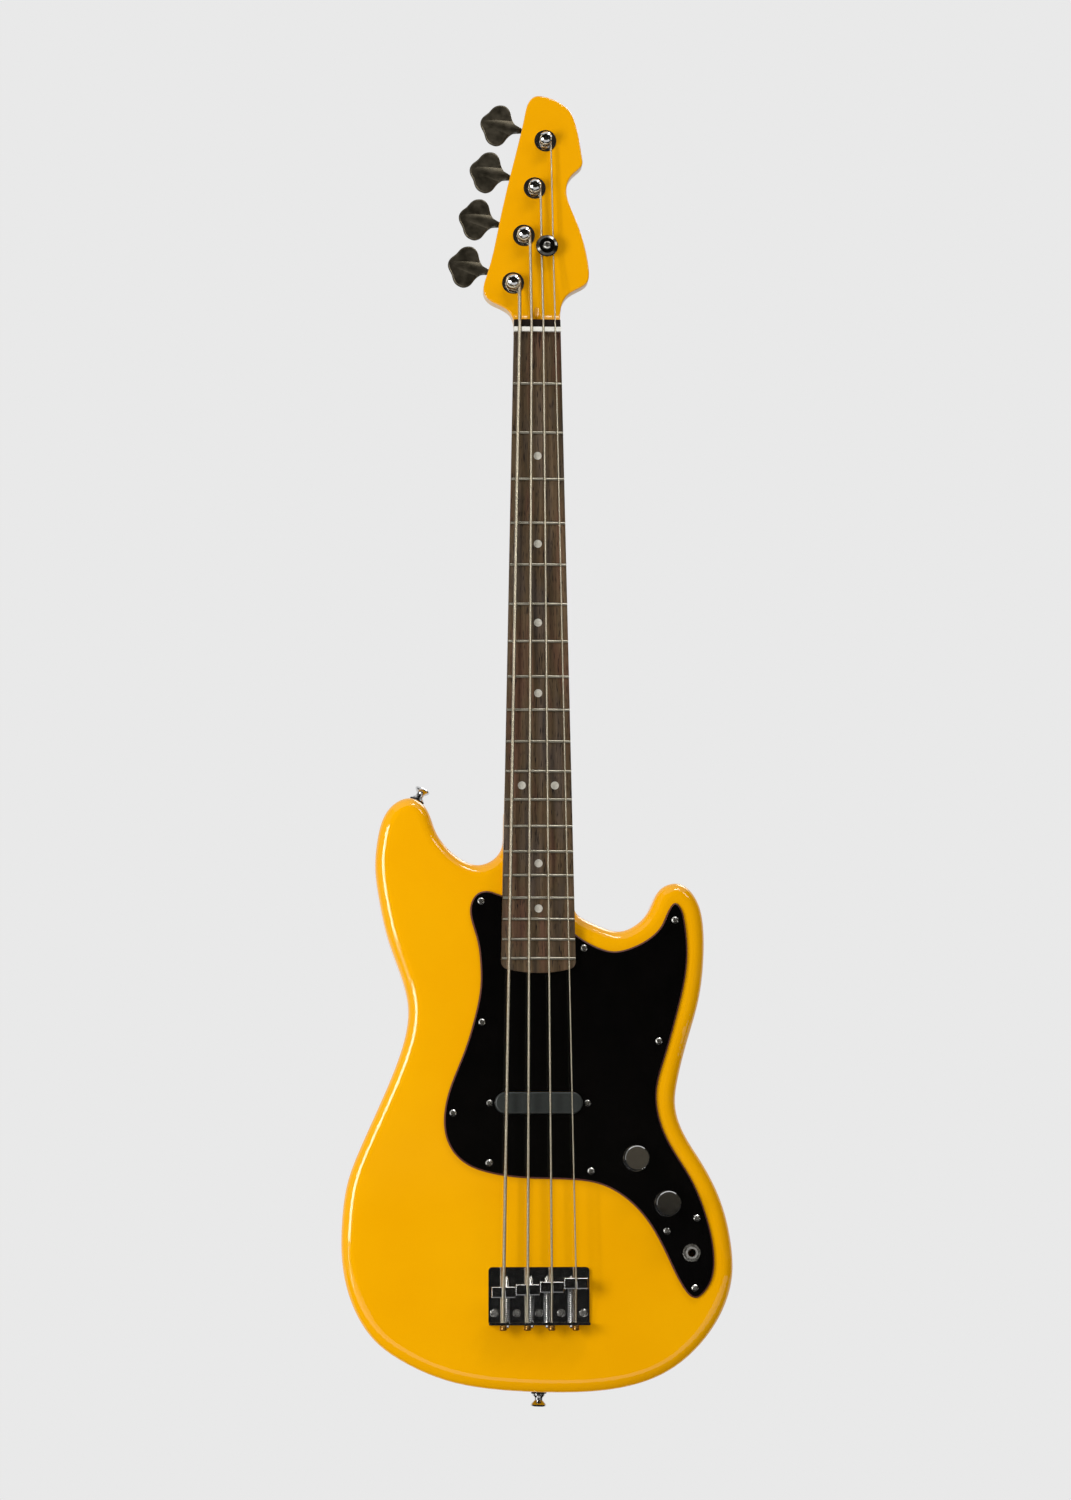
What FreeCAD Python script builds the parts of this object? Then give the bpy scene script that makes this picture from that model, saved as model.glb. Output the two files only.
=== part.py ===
import FreeCAD, Part
import math
import os
import re
import Sketcher
from FreeCAD import Placement, Rotation, Vector

# Short-scale electric bass guitar with four strings, standing upright.
# The origin is on the centreline at the front edge of the nut, in the plane where the
# fingerboard is glued to the neck. X points to the treble side, Y to the back and Z to the headstock.

SIZES = [
    # scale and strings
    ("scale_length", 762, "front of the nut to the bridge line"),
    ("nut_string_spacing", 9.6, "string to string at the nut"),
    ("bridge_string_spacing", 19, "string to string at the bridge"),
    ("string_e_diameter", 2.65, "thickest string"),
    ("string_a_diameter", 2.15, "second string"),
    ("string_d_diameter", 1.65, "third string"),
    ("string_g_diameter", 1.15, "thinnest string"),
    ("nut_lift", 1.7, "underside of the strings above the board at the nut"),
    ("saddle_lift", 5.4, "underside of the strings above the board's level at the saddles"),
    ("string_bend", 12, "radius where a string bends over the nut, tree or saddle"),
    ("string_clearance", 0.1, "string to nut slot"),
    ("wrap_gap", 0.45, "least gap between the turns of a string on its post"),
    ("wrap_clearance", 0.3, "string turns to the post"),
    ("ball_diameter", 5.6, "ball end of a string"),
    ("ball_length", 4.2, "ball end of a string"),
    # fingerboard, frets and nut
    ("nut_width", 38, "width of the board at the nut"),
    ("bridge_end_width", 69.5, "width that the board's taper would have at the bridge line"),
    ("board_thickness", 6, "fingerboard on its centreline"),
    ("board_radius", 241, "curve across the fingerboard"),
    ("board_tail", 10.4, "board behind the front edge of the nut"),
    ("board_overhang", 11.4, "board past the last fret"),
    ("board_arch", 4.5, "rise of the curved end of the board"),
    ("board_corner", 6, "rounding of the board's end corners"),
    ("fret_crown_width", 2.4, "fret wire"),
    ("fret_crown_height", 1.1, "fret wire above the board"),
    ("fret_tang_width", 0.6, "fret wire in its slot"),
    ("fret_tang_depth", 1.8, "fret wire in its slot"),
    ("fret_end_inset", 0.4, "fret ends inside the edge of the board"),
    ("dot_diameter", 6.4, "position marker"),
    ("dot_depth", 1.5, "position marker"),
    ("double_dot_spacing", 26.4, "the two markers at the octave"),
    ("nut_thickness", 3.6, "along the strings"),
    ("nut_height", 2.9, "nut above the board"),
    ("nut_seat", 3, "depth of the nut's slot in the board"),
    ("seat_gap", 0.02, "glued or pressed pieces"),
    # neck and headstock
    ("neck_depth_nut", 14.5, "wood of the neck at the nut"),
    ("neck_depth_heel", 17, "wood of the neck before the heel"),
    ("heel_depth", 19, "square heel, from the glue plane to the pocket's floor"),
    ("heel_tail", 0.6, "heel past the last fret"),
    ("heel_blend", 34, "length over which the round neck turns into the square heel"),
    ("head_drop", 4, "headstock face below the glue plane"),
    ("head_thickness", 14, "headstock"),
    ("head_round", 1.2, "rounding of the headstock's edges"),
    ("head_ramp", 10, "radius of the scoop between board and headstock face"),
    ("head_sweep", 30, "radius of the sweep behind the nut"),
    ("truss_channel_width", 6.5, "slot for the truss rod"),
    ("truss_channel_depth", 8, "slot for the truss rod"),
    ("truss_scoop_width", 7.3, "round scoop in the headstock for the truss rod key"),
    ("truss_scoop_top", 22, "upper end of the scoop, where it runs out"),
    ("truss_rod_diameter", 5, "rod in the neck"),
    ("truss_rod_depth", 4.4, "axis of the rod below the glue plane"),
    ("truss_rod_end", 30, "rod ends this far before the heel's end"),
    ("truss_nut_diameter", 6, "adjusting nut"),
    ("truss_nut_start", -6, "lower end of the adjusting nut"),
    ("truss_nut_length", 16.4, "adjusting nut"),
    ("truss_key_width", 4, "hexagon socket across its flats"),
    ("truss_key_depth", 5, "hexagon socket"),
    # tuners
    ("first_post_x", -19.2, "post of the thickest string"),
    ("first_post_z", 42.5, "post of the thickest string"),
    ("post_pitch", 40.75, "post to post along their line"),
    ("post_line_tilt", 12.57, "line of posts, degrees from the neck"),
    ("post_shaft_diameter", 9.4, "post in its bushing"),
    ("post_spool_diameter", 7, "where the string winds"),
    ("post_cap_diameter", 10, "domed top of the post"),
    ("post_cap_height", 2.8, "domed top of the post"),
    ("post_height", 12.5, "post above the headstock face"),
    ("post_slot_width", 3, "slot for the string"),
    ("post_slot_depth", 3.6, "slot for the string"),
    ("post_bore_diameter", 3, "hole for the string's end"),
    ("post_bore_depth", 9, "hole for the string's end"),
    ("bushing_flange_diameter", 18, "round flange on the headstock"),
    ("bushing_flange_thickness", 1.1, "round flange on the headstock"),
    ("bushing_hex_width", 13.4, "hexagon across its flats"),
    ("bushing_hex_height", 1.9, "hexagon on the flange"),
    ("bushing_shank_diameter", 12, "bushing in its hole"),
    ("bushing_shank_length", 10, "bushing in its hole"),
    ("running_gap", 0.06, "turning fits, on the radius"),
    ("tuner_plate_thickness", 1.5, "plate behind the headstock"),
    ("tuner_plate_inner", 13, "plate from the post, across, both ways"),
    ("tuner_plate_below", 11, "plate from the post towards the nut"),
    ("tuner_plate_above", 18.2, "plate from the post towards the tip"),
    ("tuner_plate_corner", 3, "rounded corners of the plate"),
    ("gear_teeth", 20, "teeth of the worm wheel"),
    ("gear_pitch_radius", 7, "worm wheel"),
    ("gear_tip_radius", 7.1, "worm wheel"),
    ("gear_groove_radius", 0.8, "rounded gap between the teeth"),
    ("gear_thickness", 3.2, "worm wheel"),
    ("gear_seat_diameter", 6, "end of the post in the wheel"),
    ("gear_screw_diameter", 2.4, "screw that holds the wheel"),
    ("gear_screw_head", 6.4, "diameter"),
    ("gear_screw_head_height", 1.5, "screw that holds the wheel"),
    ("gear_screw_length", 8, "screw that holds the wheel"),
    ("worm_core_radius", 2, "key shaft under the thread"),
    ("worm_thread_offset", 2.3, "centre of the thread from the shaft's axis"),
    ("worm_thread_radius", 0.55, "round section of the thread"),
    ("worm_turns", 4, "turns of the thread"),
    ("worm_floor_gap", 0.5, "worm to plate"),
    ("ear_inner", 6.4, "bearing ear from the worm's middle"),
    ("ear_thickness", 2.6, "bearing ear"),
    ("ear_width", 7.4, "bearing ear"),
    ("ear_wall", 1.8, "bearing ear beyond its bore"),
    ("key_reach", 23.6, "worm's middle to the root of the key"),
    ("key_length", 32, "key from its root to its tip"),
    ("key_width", 35, "key across its lobes"),
    ("key_thickness", 3.6, "flat of the key"),
    ("key_barrel_diameter", 6.4, "raised middle of the key at its root"),
    ("key_swell_radius", 16, "curve across the raised middle of the key"),
    ("key_round", 1.5, "rounded rim of the key"),
    ("key_collar_diameter", 5.6, "collar outside the bearing"),
    ("key_collar_length", 3, "collar outside the bearing"),
    ("shaft_end_cap", 0.8, "shaft beyond the inner ear"),
    # string tree
    ("tree_x", 8.2, "string tree"),
    ("tree_z", 72.1, "string tree"),
    ("tree_diameter", 18, "round disc"),
    ("tree_thickness", 2.6, "round disc"),
    ("tree_height", 7, "underside of the disc above the headstock face"),
    ("tree_stem_diameter", 5.6, "spacer under the disc"),
    # body
    ("body_width", 310, "body at its widest"),
    ("body_length", 470, "upper horn to lower edge"),
    ("body_thickness", 43, "front to back"),
    ("pocket_depth", 16, "neck pocket"),
    ("pocket_gap", 0.15, "heel to pocket"),
    ("edge_round", 10, "rounded edge of the body"),
    ("heel_corner", 12, "pocket past the end of the body"),
    ("heel_rise", 371, "end of the body behind the neck, above the bridge line"),
    # neck plate and its screws
    ("plate_width", 51, "neck plate across"),
    ("plate_height", 64, "neck plate along"),
    ("plate_thickness", 2, "neck plate"),
    ("plate_corner", 6, "neck plate"),
    ("plate_from_heel_end", 45, "heel's end to the middle of the plate"),
    ("neck_screw_across", 38, "screw to screw"),
    ("neck_screw_along", 51, "screw to screw"),
    ("neck_screw_diameter", 4.6, "shank"),
    ("neck_screw_head", 8.4, "diameter"),
    ("neck_screw_head_height", 2.2, "head"),
    ("neck_screw_bite", 11, "screw in the heel"),
    # strap buttons
    ("button_base_diameter", 10, "strap button on its felt"),
    ("button_waist_diameter", 6.4, "strap button"),
    ("button_head_diameter", 12.4, "strap button"),
    ("button_height", 10, "strap button"),
    ("button_screw_diameter", 3.6, "shank"),
    ("button_screw_head", 7, "diameter"),
    ("button_screw_head_height", 1.6, "head"),
    ("button_screw_length", 32, "shank"),
    ("felt_diameter", 12, "washer under the button"),
    ("felt_thickness", 1.4, "washer under the button"),
    # bridge
    ("bridge_width", 79.6, "bridge plate across"),
    ("bridge_front", 11.7, "front edge above the bridge line"),
    ("bridge_depth", 45.1, "bridge plate along"),
    ("bridge_thickness", 2, "bridge plate"),
    ("bridge_wall_height", 11, "wall above the plate"),
    ("bridge_corner", 3, "front corners"),
    ("bridge_bend", 2.6, "outer bend radius"),
    ("bridge_screw_pitch", 17.6, "screw to screw"),
    ("bridge_screw_inset", 9.4, "row of screws from the back of the plate"),
    ("saddle_width", 18.6, "saddle block"),
    ("saddle_depth", 8.4, "saddle block"),
    ("saddle_foot", 2.4, "saddle block above the plate"),
    ("saddle_height", 11, "saddle block"),
    ("saddle_round", 0.6, "edges of the saddle block"),
    ("saddle_crest", 2.6, "crest behind the saddle's front edge"),
    ("saddle_travel_back", 3, "intonation towards the wall"),
    ("saddle_travel_front", 6, "intonation towards the nut"),
    ("setback_e", 3.6, "saddle front edge below the bridge line"),
    ("setback_a", 1.7, "saddle front edge below the bridge line"),
    ("setback_d", -0.3, "saddle front edge below the bridge line"),
    ("setback_g", -3.2, "saddle front edge below the bridge line"),
    ("grub_spacing", 13.4, "two height screws of a saddle"),
    ("grub_diameter", 3, "height screw"),
    ("grub_socket", 1.5, "hexagon socket across its flats"),
    ("intonation_height", 4, "screw axis above the plate"),
    ("intonation_offset", 3.2, "screw from the string, towards the centreline"),
    ("intonation_diameter", 3, "screw"),
    ("intonation_head", 5, "screw head's diameter"),
    ("intonation_head_height", 2.4, "screw head"),
    ("intonation_tip", 5, "screw tip above the bridge line"),
    ("string_hole_height", 8.6, "string hole in the wall, above the plate"),
    ("string_hole_clearance", 0.3, "string to its hole in the wall"),
    ("spring_wire_diameter", 0.7, "intonation spring"),
    ("spring_diameter", 4.9, "intonation spring, outside"),
    ("spring_pitch", 1.35, "intonation spring, turn to turn"),
    # pickguard
    ("guard_thickness", 2.5, "pickguard"),
    ("guard_bevel", 1.2, "bevelled rim"),
    ("guard_gap", 0.3, "pickguard to neck"),
    ("guard_screw_head", 5.8, "diameter"),
    ("guard_screw_head_height", 1.5, "head"),
    ("guard_screw_diameter", 2.6, "shank"),
    ("guard_screw_length", 13, "shank"),
    ("wood_screw_head", 6.6, "bridge and tree screws"),
    ("wood_screw_head_height", 2, "bridge and tree screws"),
    ("wood_screw_diameter", 3.2, "bridge and tree screws"),
    ("bridge_screw_length", 24, "shank"),
    ("tree_screw_length", 19, "shank"),
    ("tuner_screw_head", 4.4, "diameter"),
    ("tuner_screw_head_height", 1.3, "head"),
    ("tuner_screw_diameter", 2.2, "shank"),
    ("tuner_screw_length", 9, "shank"),
    ("screw_gap", 0.05, "shank to its hole, on the radius"),
    # pickup
    ("pickup_rise", 140.2, "middle of the pickup above the bridge line"),
    ("pickup_length", 69.6, "cover across the strings"),
    ("pickup_width", 17.4, "cover along the strings"),
    ("pickup_proud", 5, "cover above the pickguard"),
    ("pickup_height", 17, "cover, top to rim"),
    ("pickup_wall", 1.2, "cover"),
    ("pickup_round", 1.6, "rounded edge of the cover"),
    ("pickup_opening_gap", 0.4, "cover to pickguard"),
    ("pickup_screw_spacing", 77.6, "screw to screw"),
    ("pickup_screw_diameter", 2.8, "shank"),
    ("pickup_screw_head", 5.4, "diameter"),
    ("pickup_screw_head_height", 1.5, "head"),
    ("pickup_screw_length", 20, "shank"),
    ("pickup_ear_width", 10, "ears of the base"),
    ("pickup_base_thickness", 2.4, "base of the bobbin"),
    ("pickup_travel", 2, "height adjustment, each way"),
    ("pickup_spring_diameter", 5.2, "spring over the screw, outside"),
    ("pickup_spring_pitch", 1.9, "spring over the screw, turn to turn"),
    ("core_width", 7.4, "bobbin core"),
    ("core_length", 61, "bobbin core"),
    ("coil_width", 13.4, "winding, outside"),
    ("coil_length", 65.6, "winding, outside"),
    ("coil_height", 9, "winding"),
    ("coil_gap", 0.15, "winding to its bobbin"),
    ("magnet_diameter", 4.8, "magnet"),
    ("pickup_cavity_margin", 3, "cavity around the base"),
    ("pickup_cavity_depth", 24, "cavity from the front"),
    # controls
    ("volume_x", 76.8, "first knob"),
    ("volume_rise", 96.6, "first knob above the bridge line"),
    ("tone_x", 101.5, "second knob"),
    ("tone_rise", 61.1, "second knob above the bridge line"),
    ("jack_x", 120.5, "output jack"),
    ("jack_rise", 22.5, "output jack above the bridge line"),
    ("knob_diameter", 19.4, "knob"),
    ("knob_skirt_diameter", 20.6, "rim at the knob's foot"),
    ("knob_skirt_height", 1.8, "rim at the knob's foot"),
    ("knob_height", 16, "knob"),
    ("knob_floor_gap", 0.3, "knob to pickguard"),
    ("knob_chamfer", 0.7, "edge of the knob's top"),
    ("knob_cavity_diameter", 16.4, "hollow over the nut"),
    ("knob_cavity_depth", 4.2, "hollow over the nut"),
    ("shaft_diameter", 6, "control shaft"),
    ("shaft_length", 13, "control shaft above the pickguard"),
    ("pot_diameter", 24, "control housing"),
    ("pot_height", 9, "control housing"),
    ("pot_bush_diameter", 9.2, "threaded bush"),
    ("pot_nut_width", 11.5, "across its flats"),
    ("pot_nut_height", 2, "nut"),
    ("washer_diameter", 14, "washer under a nut"),
    ("washer_thickness", 0.6, "washer under a nut"),
    ("control_cavity_margin", 3, "cavity around a control"),
    ("control_cavity_depth", 36, "cavity from the front"),
    ("wire_channel_width", 12, "routed channel between cavities"),
    ("wire_channel_depth", 20, "routed channel between cavities"),
    ("jack_bore_diameter", 6.5, "plug hole"),
    ("jack_sleeve_diameter", 9.4, "threaded sleeve"),
    ("jack_sleeve_proud", 4.2, "sleeve above the pickguard"),
    ("jack_flange_diameter", 16, "flange behind the pickguard"),
    ("jack_flange_thickness", 1.4, "flange behind the pickguard"),
    ("jack_nut_width", 12.4, "across its flats"),
    ("jack_nut_height", 2.4, "nut"),
    ("jack_frame_length", 24, "contact frame behind the flange"),
    ("jack_strip_thickness", 0.8, "contact springs"),
    ("jack_strip_width", 5, "contact springs"),
    ("capacitor_diameter", 9, "disc capacitor"),
    ("capacitor_thickness", 3.2, "disc capacitor"),
    ("wire_diameter", 1.5, "insulated leads"),
]

doc = FreeCAD.newDocument("electric_bass")
sheet = doc.addObject("Spreadsheet::Sheet", "sizes")
for row, (alias, amount, meaning) in enumerate(SIZES, start=1):
    sheet.set(f"A{row}", meaning)
    sheet.set(f"B{row}", str(amount))
    sheet.setAlias(f"B{row}", alias)
doc.recompute()

ALIASES = {alias for alias, amount, meaning in SIZES}
STRINGS = ("e", "a", "d", "g")
STRING_PLACES = (-1.5, -0.5, 0.5, 1.5)
FRET_COUNT = 19
DOT_FRETS = (3, 5, 7, 9, 15, 17)
OCTAVE_FRET = 12
FULL_TURN = 360
OUTLINE_PIECES = 8
DRAWN_BODY_WIDTH = 310
DRAWN_BODY_LENGTH = 470
PLUS_Y = Vector(0, 1, 0)
PLUS_Z = Vector(0, 0, 1)
PLUS_X = Vector(1, 0, 0)

nodes = {}


# Helpers for formulas, primitives and sketches


def formula(text):
    """Point each size name in a formula at its cell in the sheet."""
    return re.sub(r"[a-z]\w*", lambda word: "sizes." + word[0] if word[0] in ALIASES else word[0], str(text))


def value(text):
    """The number that a formula gives now."""
    return float(sheet.evalExpression(formula(text)))


def across(x):
    """X of a place that was drawn on the body."""
    return f"(({x}) * body_width / {DRAWN_BODY_WIDTH})"


def along(rise):
    """Z of a place that was drawn on the body, as a height above the bridge line."""
    return f"(({rise}) * body_length / {DRAWN_BODY_LENGTH} - scale_length)"


def fret(number):
    """Z of a fret in equal temperament."""
    return f"(-scale_length * (1 - 2 ^ (-({number}) / {OCTAVE_FRET})))"


def half_width(z):
    """Half the width of the board and neck at a height."""
    return f"(nut_width / 2 - (bridge_end_width - nut_width) / 2 * ({z}) / scale_length)"


def bind(thing, **formulas):
    for name, text in formulas.items():
        thing.setExpression(name.replace("__", "."), formula(text))
    return thing


def block(name, x, y, z):
    """A box between the low and high face given for each axis."""
    thing = doc.addObject("Part::Box", name)
    for side, axis, (low, high) in zip(("Length", "Width", "Height"), "xyz", (x, y, z)):
        thing.setExpression(side, formula(f"({high}) - ({low})"))
        thing.setExpression(f"Placement.Base.{axis}", formula(low))
    return thing


TURN_TO = {"x": Rotation(PLUS_Y, 90), "y": Rotation(PLUS_X, -90), "z": Rotation()}


def stand(thing, axis, start, centre):
    """Point a round solid along an axis; centre gives its place on the other two axes, in order."""
    thing.Placement = Placement(Vector(), TURN_TO[axis])
    places = dict(zip([name for name in "xyz" if name != axis], centre))
    places[axis] = start
    for name, text in places.items():
        thing.setExpression(f"Placement.Base.{name}", formula(text))
    return thing


def bar(name, axis, radius, start, end, centre):
    """A round bar along one axis."""
    thing = doc.addObject("Part::Cylinder", name)
    bind(thing, Radius=radius, Height=f"({end}) - ({start})")
    return stand(thing, axis, start, centre)


def hexagon(name, axis, flats, start, end, centre):
    """A hexagonal bar along one axis, sized across its flats."""
    thing = doc.addObject("Part::Prism", name)
    thing.Polygon = 6
    bind(thing, Circumradius=f"({flats}) / sqrt(3)", Height=f"({end}) - ({start})")
    return stand(thing, axis, start, centre)


def fuse(name, *things):
    joined = doc.addObject("Part::MultiFuse", name)
    joined.Shapes = list(things)
    joined.Refine = True
    return joined


def cut(name, base, *tools):
    left = doc.addObject("Part::Cut", name)
    left.Base = base
    left.Tool = tools[0] if len(tools) == 1 else fuse(name + "_tools", *tools)
    return left


def common(name, base, tool):
    shared = doc.addObject("Part::Common", name)
    shared.Base = base
    shared.Tool = tool
    return shared


def rounded(name, base, radius, wanted):
    """Fillet the edges of a Part object that a test picks out."""
    doc.recompute()
    thing = doc.addObject("Part::Fillet", name)
    thing.Base = base
    size = value(radius)
    picked = [number for number, edge in enumerate(base.Shape.Edges, start=1) if wanted(edge)]
    thing.Edges = [(number, size, size) for number in picked]
    return thing


def runs_along(edge, direction):
    """True for a straight edge along a direction."""
    return isinstance(edge.Curve, Part.Line) and abs(abs(edge.tangentAt(edge.FirstParameter).dot(direction)) - 1) < 1e-6


def lies_at(edge, axis, place):
    """True for an edge that lies wholly at one place on an axis."""
    box = edge.BoundBox
    low, high = {"x": (box.XMin, box.XMax), "y": (box.YMin, box.YMax), "z": (box.ZMin, box.ZMax)}[axis]
    return abs(low - place) < 1e-3 and abs(high - place) < 1e-3


def node(label, thing):
    """Name a finished sub-part."""
    thing.Label = label
    nodes[label] = thing
    return thing


def feature(label, shape, place=None):
    """A sub-part whose shape is worked out here from the sheet."""
    thing = doc.addObject("Part::Feature", label)
    thing.Shape = shape
    if place:
        thing.Placement = place
    return thing


def moved(shape, place):
    copy = shape.copy()
    copy.Placement = place.multiply(copy.Placement)
    return copy


def group(label, source, places):
    """Identical pieces of one kind, each a solid of its own."""
    doc.recompute()
    return node(label, feature(label, Part.makeCompound([moved(source.Shape, place) for place in places])))


def new_body(label):
    body = doc.addObject("PartDesign::Body", label)
    body.Label = label
    return body


def sketch(body, role, offset):
    """A sketch on one of a body's own planes, moved along the plane's normal."""
    drawing = body.newObject("Sketcher::SketchObject", "drawing")
    plane = next(item for item in body.Origin.OriginFeatures if item.Role == role)
    drawing.AttachmentSupport = [(plane, "")]
    drawing.MapMode = "FlatFace"
    drawing.setExpression("AttachmentOffset.Base.z", formula(offset))
    return drawing


def front_sketch(body, depth):
    """A sketch seen from the front, at a depth behind the glue plane."""
    return sketch(body, "XZ_Plane", f"-({depth})")


def fix_point(drawing, geometry, point, x, y):
    for kind, text in (("DistanceX", x), ("DistanceY", y)):
        index = drawing.addConstraint(Sketcher.Constraint(kind, -1, 1, geometry, point, value(text)))
        drawing.setExpression(f"Constraints[{index}]", formula(text))


def draw_polygon(drawing, corners):
    """A closed polygon whose corners follow formulas."""
    points = [Vector(value(x), value(y), 0) for x, y in corners]
    first = drawing.GeometryCount
    for start, end in zip(points, points[1:] + points[:1]):
        drawing.addGeometry(Part.LineSegment(start, end), False)
    for number, (x, y) in enumerate(corners):
        following = first + (number + 1) % len(corners)
        drawing.addConstraint(Sketcher.Constraint("Coincident", first + number, 2, following, 1))
        fix_point(drawing, first + number, 1, x, y)


def draw_circle(drawing, x, y, radius):
    circle = Part.Circle(Vector(value(x), value(y), 0), PLUS_Z, value(radius))
    geometry = drawing.addGeometry(circle, False)
    index = drawing.addConstraint(Sketcher.Constraint("Radius", geometry, value(radius)))
    drawing.setExpression(f"Constraints[{index}]", formula(radius))
    fix_point(drawing, geometry, 3, x, y)


def pad(body, drawing, length, backwards=False):
    thing = body.newObject("PartDesign::Pad", "pad")
    thing.Profile = drawing
    thing.Reversed = backwards
    return bind(thing, Length=length)


def pocket(body, drawing, depth):
    """Cut away from the sketch, against its normal."""
    thing = body.newObject("PartDesign::Pocket", "pocket")
    thing.Profile = drawing
    return bind(thing, Length=depth)


def turned(label, profile):
    """A lathe-turned piece about the Y axis, from corners of radius and depth."""
    body = new_body(label)
    drawing = sketch(body, "XY_Plane", "0")
    draw_polygon(drawing, profile)
    spin = body.newObject("PartDesign::Revolution", "spin")
    spin.Profile = drawing
    spin.ReferenceAxis = (drawing, ["V_Axis"])
    spin.Angle = FULL_TURN
    return body


def soften(body, radius, wanted):
    """Round the edges of a body that a test picks out."""
    doc.recompute()
    last = body.Tip
    edges = [f"Edge{number}" for number, edge in enumerate(last.Shape.Edges, start=1) if wanted(edge)]
    thing = body.newObject("PartDesign::Fillet", "soft_edge")
    thing.Base = (last, edges)
    return bind(thing, Radius=radius)


def smooth_curve(points, closed=False):
    """A spline through hand-picked points of an outline."""
    curve = Part.BSplineCurve()
    curve.interpolate(Points=points, PeriodicFlag=closed)
    return curve


def curve_pieces(curve, count):
    """A closed curve, cut into pieces that follow each other smoothly."""
    curve.setNotPeriodic()
    step = (curve.LastParameter - curve.FirstParameter) / count
    pieces = []
    for number in range(count):
        piece = curve.copy()
        piece.segment(curve.FirstParameter + step * number, curve.FirstParameter + step * (number + 1))
        pieces.append(piece)
    return pieces


# Tubes along lines and arcs


def arc_between(start, corner, end):
    """The arc that touches both legs of an equal-sided corner."""
    middle = (start + end) * 0.5
    turn = (corner - start).getAngle(end - corner)
    lift = math.tan(turn / 4) / math.tan(turn / 2)
    return Part.Arc(start, middle + (corner - middle) * lift, end).toShape()


def biarc(start, start_way, end, end_way):
    """Two tangent arcs from one point and direction to another."""
    span = end - start
    ways = start_way + end_way
    bend = 2 * (1 - start_way.dot(end_way))
    reach = span.dot(ways)
    leg = (math.sqrt(reach * reach + bend * span.dot(span)) - reach) / bend
    first = start + start_way * leg
    second = end - end_way * leg
    joint = (first + second) * 0.5
    return [arc_between(start, first, joint), arc_between(joint, second, end)]


def bent_path(points, radius):
    """Straight runs joined by tangent arcs of one radius."""
    edges = []
    at = points[0]
    for before, corner, after in zip(points, points[1:], points[2:]):
        way_in = (corner - before).normalize()
        way_out = (after - corner).normalize()
        leg = radius * math.tan(way_in.getAngle(way_out) / 2)
        edges.append(Part.LineSegment(at, corner - way_in * leg).toShape())
        edges.append(arc_between(corner - way_in * leg, corner, corner + way_out * leg))
        at = corner + way_out * leg
    edges.append(Part.LineSegment(at, points[-1]).toShape())
    return edges


def tube(edges, radius):
    """A round solid along a path of tangent edges."""
    path = Part.Wire(edges)
    start = edges[0].valueAt(edges[0].FirstParameter)
    way = edges[0].tangentAt(edges[0].FirstParameter)
    section = Part.Wire(Part.Circle(start, way, radius).toShape())
    return path.makePipeShell([section], True, False)


GAP_STEP = 0.5


def least_gap(edges, radius, apart):
    """Smallest gap of a wound tube to itself, between points further apart than half a turn."""
    points = []
    for edge in edges:
        steps = max(2, int(edge.Length / GAP_STEP))
        length = edge.Length / steps
        points += [(edge.valueAt(edge.getParameterByLength(length * step)), length) for step in range(steps)]
    travelled = [0]
    for point, length in points:
        travelled.append(travelled[-1] + length)
    gaps = [
        first.distanceToPoint(second)
        for one, (first, length) in enumerate(points)
        for two, (second, length) in enumerate(points[:one])
        if travelled[one] - travelled[two] > apart
    ]
    return min(gaps) - 2 * radius


def helix_station(radius, pitch, turn):
    """Point and direction on a helix along Z after some turns, starting on the X axis."""
    angle = 2 * math.pi * turn
    slope = pitch / (2 * math.pi * radius)
    point = Vector(radius * math.cos(angle), radius * math.sin(angle), pitch * turn)
    return point, Vector(-math.sin(angle), math.cos(angle), slope).normalize()


def helix_path(radius, pitch, turns):
    """Quarter turns of a helix as pairs of tangent arcs."""
    quarters = round(turns * 4)
    stations = [helix_station(radius, pitch, quarter / 4) for quarter in range(quarters + 1)]
    edges = []
    for (start, start_way), (end, end_way) in zip(stations, stations[1:]):
        edges += biarc(start, start_way, end, end_way)
    return edges


def spring_line(radius, wire, step, turns):
    """Centreline of a spring along Z, with both ends standing square on what they meet."""
    foot, foot_way = helix_station(radius, step, 0)
    head, head_way = helix_station(radius, step, turns)
    below = foot - foot_way * wire
    above = head + head_way * wire
    base = below - PLUS_Z * wire
    top = above + PLUS_Z * wire
    lower = [Part.LineSegment(base - PLUS_Z * wire, base).toShape(), arc_between(base, below, foot)]
    upper = [arc_between(head, above, top), Part.LineSegment(top, top + PLUS_Z * wire).toShape()]
    return lower + helix_path(radius, step, turns) + upper, base.z - wire, top.z + wire


def coil_spring(label, length, outside, wire, pitch):
    """A spring along Z from 0 to its length."""
    radius = (outside - wire) / 2
    turns = math.floor((length - 4 * wire) / pitch * 4) / 4
    step = (length - 4 * wire) / turns
    for trial in range(3):
        edges, low, high = spring_line(radius, wire, step, turns)
        step += (length - (high - low)) / turns
    edges, low, high = spring_line(radius, wire, step, turns)
    print(label, "turns", turns, "gap", round(least_gap(edges, wire / 2, math.pi * radius), 3),
          "length error", round(high - low - length, 4))
    spring = tube(edges, wire / 2)
    spring.translate(Vector(0, 0, -low))
    return spring, high - low


# Depths that many pieces share

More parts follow.
